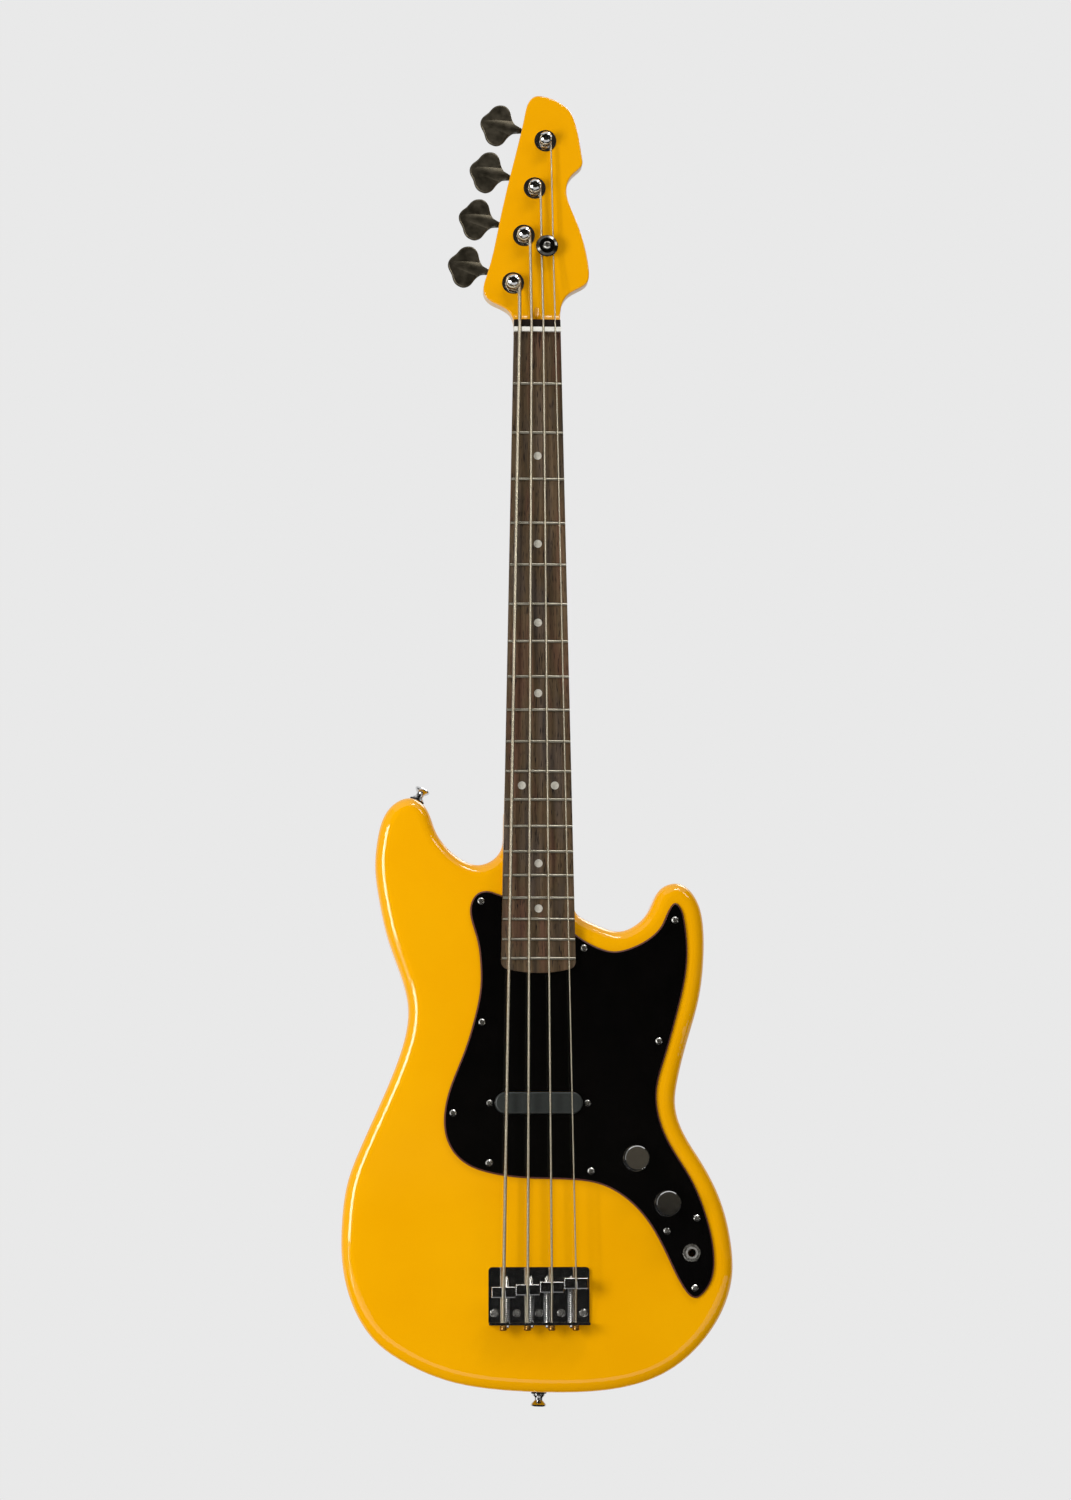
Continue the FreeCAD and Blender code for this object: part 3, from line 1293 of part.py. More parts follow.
def make_key():
    """Key, collar, shaft and worm thread in one piece, about the X axis."""
    core = value("worm_core_radius")
    inner = value("ear_inner") + value("ear_thickness") + value("shaft_end_cap")
    outer = value("ear_inner") + value("ear_thickness") + value("running_gap")
    reach = value("key_reach")
    shaft = Part.makeCylinder(core, inner + reach + 1, Vector(inner, 0, 0), PLUS_X * -1)
    collar = Part.makeCylinder(
        value("key_collar_diameter") / 2, value("key_collar_length"), Vector(-outer, 0, 0), PLUS_X * -1
    )
    rim = Vector(-reach - core / 5, value("key_barrel_diameter") * 0.47, 0)
    profile = [Vector(core * 2 - reach, 0, 0), Vector(core * 2 - reach, core * 0.8, 0), rim,
               Vector(-reach - core * 2.5, core / 2, 0), Vector(-reach - core * 2.5, 0, 0)]
    neck = Part.Face(Part.makePolygon(profile + profile[:1])).revolve(Vector(), PLUS_X, FULL_TURN)
    offset = value("worm_thread_offset")
    pitch = 2 * math.pi * value("gear_pitch_radius") / round(value("gear_teeth"))
    turns = value("worm_turns")
    path = helix_path(offset, pitch, turns)
    thread = tube(path, value("worm_thread_radius"))
    print("worm thread gap", round(least_gap(path, value("worm_thread_radius"), math.pi * offset), 3))
    thread.translate(Vector(0, 0, -pitch * turns / 2))
    thread.rotate(Vector(), PLUS_Y, 90)
    down = thread_phase(turns)
    thread.rotate(Vector(), PLUS_X, down)
    return feature("key", shaft.fuse([collar, neck]).fuse(thread).fuse(key_leaf()),
                   Placement(Vector(0, value(WORM_Y), value(WORM_Z)), Rotation()))


def thread_phase(turns):
    """Turn of the thread that lays its middle in a gap of the wheel."""
    start = FULL_TURN * turns / 2
    return -start % FULL_TURN


def make_housing():
    """Back plate with two bearing ears."""
    plate = block(
        "tuner_plate", ("-tuner_plate_inner", "tuner_plate_inner"), ("head_thickness", PLATE_BACK),
        ("-tuner_plate_below", "tuner_plate_above"),
    )
    plate = rounded("tuner_plate_round", plate, "tuner_plate_corner", lambda edge: runs_along(edge, PLUS_Y))
    ears = [
        block(
            "ear", (low, high), (f"{PLATE_BACK} - tuner_plate_thickness / 2", f"{WORM_Y} + worm_core_radius + ear_wall"),
            (f"{WORM_Z} - ear_width / 2", f"{WORM_Z} + ear_width / 2"),
        )
        for low, high in (
            ("ear_inner", "ear_inner + ear_thickness"),
            ("-ear_inner - ear_thickness", "-ear_inner"),
        )
    ]
    bore = bar("ear_bore", "x", "worm_core_radius + running_gap", "-ear_inner * 3", "ear_inner * 3", (WORM_Y, WORM_Z))
    hole = bar("plate_hole", "y", "post_shaft_diameter / 2 + running_gap", "head_thickness - 1",
               f"{PLATE_BACK} + 1", ("0", "0"))
    screws = []
    for x, z in TUNER_SCREW_SPOTS:
        edge = "tuner_plate_above" if z == "1" else "tuner_plate_below"
        spot = (f"{x} * (tuner_plate_inner - {TUNER_SCREW_INSET})", f"{z} * ({edge} - {TUNER_SCREW_INSET})")
        screws.append(bar("plate_screw_hole", "y", "tuner_screw_diameter / 2 + screw_gap", "head_thickness - 1",
                          f"{PLATE_BACK} + 1", spot))
    return cut("housing", fuse("housing_blank", plate, *ears), bore, hole, *screws)


def make_tuners():
    places = [tuner_place(number) for number in range(len(STRINGS))]
    group("tuner_bushings", make_bushing(), places)
    group("tuner_housings", make_housing(), places)
    plate_screw = screw("plate_screw", "tuner_screw_head", "tuner_screw_head_height", "tuner_screw_diameter",
                        "tuner_screw_length")
    group("tuner_screws", plate_screw, [
        place for number in range(len(STRINGS)) for place in tuner_screw_places(number)
    ])
    gear_screw = screw("gear_screw", "gear_screw_head", "gear_screw_head_height", "gear_screw_diameter",
                       "gear_screw_length")
    post, gear, key = make_post(), make_gear(), make_key()
    doc.recompute()
    held = moved(gear_screw.Shape, Placement(Vector(0, value(GEAR_BACK), 0), Rotation(PLUS_Z, 180)))
    for number, place in enumerate(places, start=1):
        whole = Part.makeCompound([moved(piece, place) for piece in (post.Shape, gear.Shape, held)])
        node(f"tuner_post_{number}", feature(f"tuner_post_{number}", whole))
        node(f"tuner_key_{number}", feature(f"tuner_key_{number}", moved(key.Shape, place)))


def make_string_tree():
    """Round disc on a stem, held by a screw through its middle."""
    top = "head_drop - tree_height - tree_thickness"
    under = "head_drop - tree_height"
    bore = "wood_screw_diameter / 2 + screw_gap"
    tree = turned("tree", [
        (bore, top),
        ("tree_diameter / 2 - tree_thickness", top),
        ("tree_diameter / 2 - tree_thickness * 0.3", f"{top} + tree_thickness * 0.3"),
        ("tree_diameter / 2", f"{top} + tree_thickness * 0.7"),
        ("tree_diameter / 2 - tree_thickness * 0.2", under),
        ("tree_stem_diameter / 2", under),
        ("tree_stem_diameter / 2", "head_drop"),
        (bore, "head_drop"),
    ])
    bind(tree, Placement__Base__x="tree_x", Placement__Base__z="tree_z")
    node("string_tree", tree)
    hold = screw("tree_screw", "wood_screw_head", "wood_screw_head_height", "wood_screw_diameter", "tree_screw_length")
    bind(hold, Placement__Base__x="tree_x", Placement__Base__y=top, Placement__Base__z="tree_z")
    node("string_tree_screw", hold)


# Strings


def string_wrap(number, last_corner, radius):
    """Turns of a string on its post, from the point where it leaves towards the nut."""
    post_x, post_z = [value(text) for text in post_spot(number)]
    winding = value("post_spool_diameter") / 2 + value("wrap_clearance") + radius
    pitch = 2 * radius + value("wrap_gap") + 0.1
    level = value(f"head_drop - {BUSHING_TOP}") - radius - value("wrap_clearance") * 3
    far_x, far_z = post_x - last_corner.x, post_z - last_corner.z
    distance = math.hypot(far_x, far_z)
    heading = math.atan2(far_z, far_x) - math.asin(winding / distance)
    run = math.sqrt(distance * distance - winding * winding)
    touch = Vector(last_corner.x + run * math.cos(heading), level, last_corner.z + run * math.sin(heading))
    room = value("post_height - post_cap_height * 1.3") - value(BUSHING_TOP) - 2 * radius - value("wrap_clearance") * 4
    quarters = max(4, math.floor(4 * room / pitch) + 1)
    slope = pitch / (2 * math.pi * winding)
    stations = [(touch, (touch - last_corner).normalize())]
    for quarter in range(1, quarters + 1):
        angle = heading - math.pi / 2 + quarter * math.pi / 2
        depth = level - pitch * quarter / 4
        point = Vector(post_x + winding * math.cos(angle), depth, post_z + winding * math.sin(angle))
        way = Vector(-math.sin(angle), -slope, math.cos(angle)).normalize()
        stations.append((point, way))
    edges = []
    for (start, start_way), (end, end_way) in zip(stations, stations[1:]):
        edges += biarc(start, start_way, end, end_way)
    print("string", STRINGS[number], "turns", quarters / 4, "gap",
          round(least_gap(edges, radius, math.pi * winding), 3))
    return touch, edges


def make_string(number):
    """One string in three lengths: from its ball end over the saddle, to the nut, and on round its post."""
    name = STRINGS[number]
    radius = value(f"string_{name}_diameter") / 2
    bridge_x = value(saddle_x(number))
    nut_x = STRING_PLACES[number] * value("nut_string_spacing")
    hole_y = value(STRING_HOLE_Y)
    wall_back = value(BRIDGE_BACK)
    crest_y = value("-board_thickness - saddle_lift") - radius
    nut_y = value("-board_thickness - nut_lift") - radius
    behind_nut = value("nut_thickness + nut_seat / 2")
    corners = [
        Vector(bridge_x, hole_y, wall_back),
        Vector(bridge_x, hole_y, value(WALL_FRONT) + value("bridge_thickness") * 1.5),
        Vector(bridge_x, crest_y, value(saddle_front(number)) - value("saddle_crest")),
        Vector(nut_x, nut_y, behind_nut),
    ]
    post_x, post_z = [value(text) for text in post_spot(number)]
    if post_z > value("tree_z"):
        beside = value("post_spool_diameter") / 2 + value("wrap_clearance") + radius
        rim_z = value("tree_z - tree_diameter / 2")
        share = (rim_z - behind_nut) / (post_z - behind_nut)
        tree_x = nut_x + (post_x + beside - nut_x) * share
        tree_y = value("head_drop - tree_height + string_clearance * 2") + radius
        if abs(tree_x - value("tree_x")) < value("tree_diameter") / 2:
            corners.append(Vector(tree_x, tree_y, rim_z))
    touch, wrap = string_wrap(number, corners[-1], radius)
    edges = bent_path(corners + [touch], value("string_bend")) + wrap
    longest = max(range(len(edges)), key=lambda place: edges[place].Length)
    lengths = [edges[:longest], edges[longest:longest + 1], edges[longest + 1:]]
    ball = Part.makeCylinder(value("ball_diameter") / 2, value("ball_length"), corners[0], PLUS_Z * -1)
    pieces = [tube(length, radius) for length in lengths] + [ball]
    node(f"string_{name}", feature(f"string_{name}", Part.makeCompound(pieces)))


# Neck plate and strap buttons


def make_neck_plate():
    plate = block(
        "plate_blank", ("-plate_width / 2", "plate_width / 2"), (BODY_BACK, f"{BODY_BACK} + plate_thickness"),
        (f"{PLATE_Z} - plate_height / 2", f"{PLATE_Z} + plate_height / 2"),
    )
    plate = rounded("plate_round", plate, "plate_corner", lambda edge: runs_along(edge, PLUS_Y))
    holes = [
        bar("plate_hole", "y", "neck_screw_diameter / 2 + screw_gap", f"{BODY_BACK} - 1",
            f"{BODY_BACK} + plate_thickness + 1", spot)
        for spot in neck_screw_spots()
    ]
    node("neck_plate", cut("neck_plate", plate, *holes))
    length = f"({BODY_BACK} + plate_thickness - heel_depth + neck_screw_bite)"
    long_screw = screw("neck_screw", "neck_screw_head", "neck_screw_head_height", "neck_screw_diameter", length)
    group("neck_screws", long_screw, [
        from_back(x, f"{BODY_BACK} + plate_thickness", z) for x, z in neck_screw_spots()
    ])


def make_strap_buttons():
    """Mushroom-shaped buttons; their local -Y points away from the body."""
    seats = [button_seat(spot) for spot in (HORN_BUTTON, END_BUTTON)]
    bore = "button_screw_diameter / 2 + screw_gap"
    foot = "-felt_thickness - seat_gap"
    top = f"({foot} - button_height)"
    well = "button_screw_head / 2 + screw_gap"
    shelf = f"({top} + button_screw_head_height)"
    button = turned("button", [
        (bore, foot),
        ("button_base_diameter / 2", foot),
        ("button_base_diameter / 2", f"{foot} - button_height * 0.12"),
        ("button_waist_diameter / 2", f"{foot} - button_height * 0.34"),
        ("button_waist_diameter / 2", f"{foot} - button_height * 0.52"),
        ("button_head_diameter / 2 * 0.9", f"{foot} - button_height * 0.76"),
        ("button_head_diameter / 2", f"{foot} - button_height * 0.86"),
        ("button_head_diameter / 2 * 0.94", f"{foot} - button_height * 0.97"),
        ("button_head_diameter / 2 * 0.86", top),
        (well, top),
        (well, shelf),
        (bore, shelf),
    ])
    group("strap_buttons", button, seats)
    felt = turned("felt", [
        (bore, "-seat_gap"),
        ("felt_diameter / 2", "-seat_gap"),
        ("felt_diameter / 2", "-felt_thickness - seat_gap"),
        (bore, "-felt_thickness - seat_gap"),
    ])
    group("strap_button_felts", felt, seats)
    hold = screw("button_screw", "button_screw_head", "button_screw_head_height", "button_screw_diameter",
                 "button_screw_length")
    sunk = Placement(Vector(0, value(shelf), 0), Rotation())
    group("strap_button_screws", hold, [seat.multiply(sunk) for seat in seats])


# Bridge


def make_bridge_plate():
    """Plate bent up at its back into a wall."""
    body = new_body("bridge_bent")
    drawing = sketch(body, "YZ_Plane", "-bridge_width / 2")
    top = f"({PLATE_TOP} - bridge_wall_height)"
    front = "(-scale_length + bridge_front)"
    draw_polygon(drawing, [
        (BODY_FRONT, front),
        (PLATE_TOP, front),
        (PLATE_TOP, WALL_FRONT),
        (top, WALL_FRONT),
        (top, BRIDGE_BACK),
        (BODY_FRONT, BRIDGE_BACK),
    ])
    pad(body, drawing, "bridge_width")
    base, back, nose = value(BODY_FRONT), value(BRIDGE_BACK), value(front)
    soften(body, "bridge_bend", lambda edge: lies_at(edge, "y", base) and lies_at(edge, "z", back))
    soften(body, "bridge_corner", lambda edge: runs_along(edge, PLUS_Y) and lies_at(edge, "z", nose))
    holes = [
        bar("bridge_screw_hole", "y", "wood_screw_diameter / 2 + screw_gap", f"{PLATE_TOP} - 1", f"{BODY_FRONT} + 1", spot)
        for spot in bridge_screw_spots()
    ]
    for number, name in enumerate(STRINGS):
        ends = (f"{BRIDGE_BACK} - 1", f"{WALL_FRONT} + 1")
        holes.append(bar("string_hole", "z", f"string_{name}_diameter / 2 + string_hole_clearance", *ends,
                         (saddle_x(number), STRING_HOLE_Y)))
        holes.append(bar("intonation_hole", "z", "intonation_diameter / 2 + running_gap", *ends,
                         (intonation_x(number), INTONATION_Y)))
    node("bridge_plate", cut("bridge_plate", body, *holes))
    hold = screw("bridge_screw", "wood_screw_head", "wood_screw_head_height", "wood_screw_diameter",
                 "bridge_screw_length")
    group("bridge_screws", hold, [at_front(x, PLATE_TOP, z) for x, z in bridge_screw_spots()])


def make_saddle(number):
    """Saddle block on its two height screws."""
    name = STRINGS[number]
    x = saddle_x(number)
    front = saddle_front(number)
    foot = f"({PLATE_TOP} - saddle_foot)"
    top = f"({foot} - saddle_height)"
    blank = block(
        "saddle_blank", (f"{x} - saddle_width / 2", f"{x} + saddle_width / 2"), (top, foot),
        (f"{front} - saddle_depth", front),
    )
    blank = rounded("saddle_soft", blank, "saddle_round", lambda edge: lies_at(edge, "y", value(top)))
    grubs = [f"({x} + {side} * grub_spacing / 2)" for side in (-1, 1)]
    middle = f"({front} - saddle_depth / 2)"
    tools = [
        bar("grub_hole", "y", "grub_diameter / 2 + running_gap", f"{top} - 1", f"{foot} + 1", (spot, middle))
        for spot in grubs
    ]
    tools.append(bar("thread_hole", "z", "intonation_diameter / 2 + running_gap", f"{front} - saddle_depth - 1",
                     f"{front} + 1", (intonation_x(number), INTONATION_Y)))
    string_middle = f"(-board_thickness - saddle_lift - string_{name}_diameter / 2)"
    fall = f"(({STRING_HOLE_Y} - {string_middle}) / ({front} - saddle_crest - {WALL_FRONT} - bridge_thickness * 1.5))"
    lean = f"({abs(STRING_PLACES[number])} * (bridge_string_spacing - nut_string_spacing) / scale_length)"
    sway = f"({lean} * (saddle_travel_front + saddle_crest))"
    radius = f"(string_{name}_diameter / 2 + string_clearance + {sway})"
    groove_middle = f"({string_middle} + {fall} * saddle_travel_back - {sway})"
    tools.append(bar("saddle_groove", "z", radius, f"{front} - saddle_depth - 1", f"{front} + 1", (x, groove_middle)))
    tools.append(block(
        "saddle_groove_top", (f"{x} - {radius}", f"{x} + {radius}"), (f"{top} - 1", groove_middle),
        (f"{front} - saddle_depth - 1", f"{front} + 1"),
    ))
    ramp = Part.makeBox(
        2 * value(radius), value("saddle_height"), value("saddle_depth * 2"),
        Vector(-value(radius), -value("saddle_height"), -value("saddle_depth * 2")),
    )
    ramp_tool = feature("saddle_ramp", ramp, Placement(
        Vector(value(x), value(f"{groove_middle} + {radius}"), value(f"{front} - saddle_crest")),
        Rotation(PLUS_X, math.degrees(math.atan(value(fall)))),
    ))
    tools.append(ramp_tool)
    saddle = cut("saddle_cut", blank, *tools)
    pieces = [saddle]
    for spot in grubs:
        shank = bar("grub", "y", "grub_diameter / 2", f"{top} + saddle_round", PLATE_TOP, (spot, middle))
        socket = hexagon("grub_socket", "y", "grub_socket", f"{top} + saddle_round - 1",
                         f"{top} + saddle_round + grub_socket * 1.5", (spot, middle))
        pieces.append(cut("grub_screw", shank, socket))
    doc.recompute()
    whole = Part.makeCompound([piece.Shape for piece in pieces])
    node(f"saddle_{number + 1}", feature(f"saddle_{number + 1}", whole))


def make_intonation():
    springs = []
    for number in range(len(STRINGS)):
        length = f"(-scale_length + intonation_tip - ({BRIDGE_BACK}))"
        label = f"intonation_screw_{number + 1}"
        adjuster = screw(label, "intonation_head", "intonation_head_height", "intonation_diameter", length)
        adjuster.Placement = Placement(Vector(), Rotation(PLUS_X, 90))
        bind(adjuster, Placement__Base__x=intonation_x(number), Placement__Base__y=INTONATION_Y,
             Placement__Base__z=BRIDGE_BACK)
        node(label, adjuster)
        room = value(f"{saddle_front(number)} - saddle_depth - ({WALL_FRONT})") - 2 * value("seat_gap")
        spring, height = coil_spring(
            f"intonation spring {STRINGS[number]}", room, value("spring_diameter"), value("spring_wire_diameter"),
            value("spring_pitch"),
        )
        foot = Vector(value(intonation_x(number)), value(INTONATION_Y), value(WALL_FRONT) + value("seat_gap"))
        spring.translate(foot)
        springs.append(spring)
    node("intonation_springs", feature("intonation_springs", Part.makeCompound(springs)))


# Pickguard

GUARD_OUTLINE = [
    (-26, 304.6), (-30, 305.3), (-38.6, 308.2), (-47.5, 306.8), (-53.8, 297), (-52.6, 283), (-48.6, 269.5),
    (-46, 250), (-46, 232), (-50.3, 208.9), (-59, 180.4), (-70.1, 152.1), (-74.8, 128), (-72.2, 110.5),
    (-66.1, 100), (-56.6, 91.8), (-42, 86), (-8, 81), (30, 79.6), (47.6, 76.6), (66.6, 67), (85.4, 48.3),
    (104.2, 13.8), (113.6, -4.2), (123, -12.8), (132.6, -5.8), (138.6, 12), (138.3, 24.7), (132.2, 52.9),
    (120.5, 81.1), (103.3, 109.5), (95.2, 131.5), (94, 151), (99.7, 173.4), (111.9, 216.2), (117.6, 242),
    (118.8, 270), (116.6, 287.4), (113.8, 295.6), (109.6, 299.2), (105.3, 295.3), (98.4, 281), (88, 270.6),
    (74, 263.4), (60.8, 260.5), (48, 263.4), (37, 269), (26, 277),
]


def stadium(length, width, depth):
    """A straight-sided shape with round ends, from Y 0 backwards."""
    radius = width / 2
    reach = length / 2 - radius
    top_left, top_right = Vector(-reach, 0, radius), Vector(reach, 0, radius)
    low_left, low_right = Vector(-reach, 0, -radius), Vector(reach, 0, -radius)
    edges = [
        Part.LineSegment(top_left, top_right).toShape(),
        Part.Arc(top_right, Vector(reach + radius, 0, 0), low_right).toShape(),
        Part.LineSegment(low_right, low_left).toShape(),
        Part.Arc(low_left, Vector(-reach - radius, 0, 0), top_left).toShape(),
    ]
    return Part.Face(Part.Wire(edges)).extrude(PLUS_Y * depth)


def at_pickup(shape, depth):
    """Set a shape at the pickup's middle, at a depth."""
    shape.translate(Vector(0, depth, value(PICKUP_Z)))
    return shape


def pickup_screw_x(side):
    return f"({side} * pickup_screw_spacing / 2)"


def make_pickguard():
    points = [Vector(value(across(x)), value(GUARD_FRONT), value(along(rise))) for x, rise in GUARD_OUTLINE]
    edges = [smooth_curve(points).toShape(), Part.LineSegment(points[-1], points[0]).toShape()]
    sheet_blank = Part.Face(Part.Wire(edges)).extrude(PLUS_Y * value("guard_thickness"))
    front = value(GUARD_FRONT)
    rim = [
        edge for edge in sheet_blank.Edges
        if lies_at(edge, "y", front) and edge.Length > value("pickup_length") * 2
    ]
    bevelled = feature("guard_blank", sheet_blank.makeChamfer(value("guard_bevel"), rim))
    slot = new_body("guard_slot")
    drawing = front_sketch(slot, f"{GUARD_FRONT} - 1")
    draw_polygon(drawing, neck_slot("guard_gap", f"{HEEL_TOP} + heel_corner", f"{HEEL_END} - guard_gap"))
    pad(slot, drawing, "guard_thickness + 2", backwards=True)
    opening = feature("pickup_opening", at_pickup(
        stadium(
            value("pickup_length + 2 * pickup_opening_gap"), value("pickup_width + 2 * pickup_opening_gap"),
            value("guard_thickness + 2"),
        ),
        front - 1,
    ))
    tools = [slot, opening]
    holes = [(spot, "guard_screw_diameter / 2 + screw_gap") for spot in guard_screw_spots()]
    holes += [((pickup_screw_x(side), PICKUP_Z), "pickup_screw_diameter / 2 + running_gap") for side in (-1, 1)]
    holes += [(control_spot(name), "pot_bush_diameter / 2 + screw_gap") for name in ("volume", "tone")]
    holes += [(control_spot("jack"), "jack_sleeve_diameter / 2 + screw_gap")]
    for spot, radius in holes:
        tools.append(bar("guard_hole", "y", radius, f"{GUARD_FRONT} - 1", f"{BODY_FRONT} + 1", spot))
    node("pickguard", cut("pickguard", bevelled, *tools))
    hold = screw("guard_screw", "guard_screw_head", "guard_screw_head_height", "guard_screw_diameter",
                 "guard_screw_length")
    group("pickguard_screws", hold, [at_front(x, GUARD_FRONT, z) for x, z in guard_screw_spots()])


# Pickup


def make_pickup():
    """Covered single-coil pickup hung on two sprung screws."""
    top = value(f"{GUARD_FRONT} - pickup_proud")
    wall = value("pickup_wall")
    length, width, height = value("pickup_length"), value("pickup_width"), value("pickup_height")
    shell = at_pickup(stadium(length, width, height), top)
    rim = [edge for edge in shell.Edges if lies_at(edge, "y", top)]
    shell = shell.makeFillet(value("pickup_round"), rim)
    inside = at_pickup(stadium(length - 2 * wall, width - 2 * wall, height), top + wall)
    node("pickup_cover", feature("pickup_cover", shell.cut(inside)))

    base_front = top + height
    base_thick = value("pickup_base_thickness")
    base = at_pickup(stadium(value("pickup_screw_spacing + pickup_ear_width"), width, base_thick), base_front)
    gap = value("coil_gap")
    core_front = base_front - value("coil_height") - 2 * gap - base_thick
    core = at_pickup(stadium(value("core_length"), value("core_width"), base_front - core_front), core_front)
    flange = at_pickup(stadium(value("coil_length"), value("coil_width"), base_thick), core_front)
    bobbin = base.fuse([core, flange]).removeSplitter()
    shank = value("pickup_screw_diameter / 2 + running_gap")
    for side in (-1, 1):
        spot = Vector(value(pickup_screw_x(side)), base_front - 1, value(PICKUP_Z))
        bobbin = bobbin.cut(Part.makeCylinder(shank, base_thick + 2, spot, PLUS_Y))
    magnets = []
    magnet = value("magnet_diameter") / 2
    for place in STRING_PLACES:
        spot = Vector(place * pickup_string_spacing(), core_front, value(PICKUP_Z))
        bobbin = bobbin.cut(Part.makeCylinder(magnet + gap / 3, base_front - core_front, spot, PLUS_Y))
        magnets.append(Part.makeCylinder(magnet, base_front - core_front, spot, PLUS_Y))
    node("pickup_bobbin", feature("pickup_bobbin", bobbin))
    node("pickup_magnets", feature("pickup_magnets", Part.makeCompound(magnets)))
    coil_front = core_front + base_thick + gap
    coil = at_pickup(stadium(value("coil_length"), value("coil_width"), value("coil_height")), coil_front)
    hollow = at_pickup(
        stadium(value("core_length") + 2 * gap, value("core_width") + 2 * gap, value("coil_height")), coil_front
    )
    node("pickup_coil", feature("pickup_coil", coil.cut(hollow)))

    springs = []
    for number, side in enumerate((-1, 1), start=1):
        label = f"pickup_screw_{number}"
        hold = screw(label, "pickup_screw_head", "pickup_screw_head_height", "pickup_screw_diameter",
                     "pickup_screw_length")
        bind(hold, Placement__Base__x=pickup_screw_x(side), Placement__Base__y=GUARD_FRONT,
             Placement__Base__z=PICKUP_Z)
        node(label, hold)
        room = base_front - value(BODY_FRONT) - 2 * value("seat_gap")
        spring, height = coil_spring(f"pickup spring {number}", room, value("pickup_spring_diameter"),
                                     value("spring_wire_diameter"), value("pickup_spring_pitch"))
        foot = Vector(value(pickup_screw_x(side)), value(BODY_FRONT) + value("seat_gap"), value(PICKUP_Z))
        springs.append(moved(spring, Placement(foot, TURN_TO["y"])))
    node("pickup_springs", feature("pickup_springs", Part.makeCompound(springs)))


def pickup_string_spacing():
    """String spacing over the pickup, between those of the nut and the bridge."""
    share = -value(PICKUP_Z) / value("scale_length")
    return value("nut_string_spacing") + share * value("bridge_string_spacing - nut_string_spacing")


# Knobs, controls, jack and wiring


def make_knob(label, name):
    x, z = control_spot(name)
    foot = f"({GUARD_FRONT} - knob_floor_gap)"
    top = f"({foot} - knob_height)"
    bore = "shaft_diameter / 2 + seat_gap"
    ceiling = f"({GUARD_FRONT} - shaft_length - seat_gap)"
    knob = turned(label, [
        ("0", top),
        ("knob_diameter / 2 - knob_chamfer", top),
        ("knob_diameter / 2", f"{top} + knob_chamfer"),
        ("knob_diameter / 2", f"{foot} - knob_skirt_height"),
        ("knob_skirt_diameter / 2", f"{foot} - knob_skirt_height"),
        ("knob_skirt_diameter / 2", foot),
        ("knob_cavity_diameter / 2", foot),
        ("knob_cavity_diameter / 2", f"{foot} - knob_cavity_depth"),
        (bore, f"{foot} - knob_cavity_depth"),
        (bore, ceiling),
        ("0", ceiling),
    ])
    bind(knob, Placement__Base__x=x, Placement__Base__z=z)
    node(label, knob)
    shaft = bar(f"{name}_shaft", "y", "shaft_diameter / 2", f"{GUARD_FRONT} - shaft_length",
                f"{BODY_FRONT} + pot_height / 2", (x, z))
    node(f"{name}_pot_shaft", shaft)


def make_pot(name):
    """Control housing behind the pickguard, with its threaded bush and solder lugs."""
    x, z = control_spot(name)
    bush_top = f"({GUARD_FRONT} - washer_thickness - pot_nut_height)"
    can = bar("pot_can", "y", "pot_diameter / 2", BODY_FRONT, f"{BODY_FRONT} + pot_height", (x, z))
    bush = bar("pot_bush", "y", "pot_bush_diameter / 2", bush_top, f"{BODY_FRONT} + 1", (x, z))
    lugs = [
        block(
            "pot_lug", (f"{x} + {step} * pot_diameter / 5 - 1", f"{x} + {step} * pot_diameter / 5 + 1"),
            (f"{BODY_FRONT} + pot_height / 3", f"{BODY_FRONT} + pot_height / 3 + 0.8"),
            (f"{z} - pot_diameter / 2 - control_cavity_margin / 2", z),
        )
        for step in (-1, 0, 1)
    ]
    bore = bar("pot_bore", "y", "shaft_diameter / 2 + running_gap", f"{bush_top} - 1",
               f"{BODY_FRONT} + pot_height / 2 + running_gap", (x, z))
    return cut("pot", fuse("pot_blank", can, bush, *lugs), bore)


def nut_and_washer(spot, flats, height, bore):
    """Hexagon nut on a flat washer, both in front of the pickguard."""
    x, z = spot
    under = f"({GUARD_FRONT} - washer_thickness)"
    hole = bar("nut_bore", "y", f"({bore}) / 2 + screw_gap", f"{under} - ({height}) - 1", f"{GUARD_FRONT} + 1", (x, z))
    washer = bar("washer", "y", "washer_diameter / 2", under, GUARD_FRONT, (x, z))
    hexagonal = hexagon("nut_hex", "y", flats, f"{under} - ({height})", under, (x, z))
    return [cut("washer_ring", washer, hole), cut("nut_ring", hexagonal, hole)]


def compound(label, things):
    doc.recompute()
    return node(label, feature(label, Part.makeCompound([thing.Shape for thing in things])))


def make_controls():
    for label, name in (("volume_knob", "volume"), ("tone_knob", "tone")):
        make_knob(label, name)
    compound("pot_housings", [make_pot("volume"), make_pot("tone")])
    nuts = []
    for name in ("volume", "tone"):
        nuts += nut_and_washer(control_spot(name), "pot_nut_width", "pot_nut_height", "pot_bush_diameter")
    compound("pot_nuts", nuts)


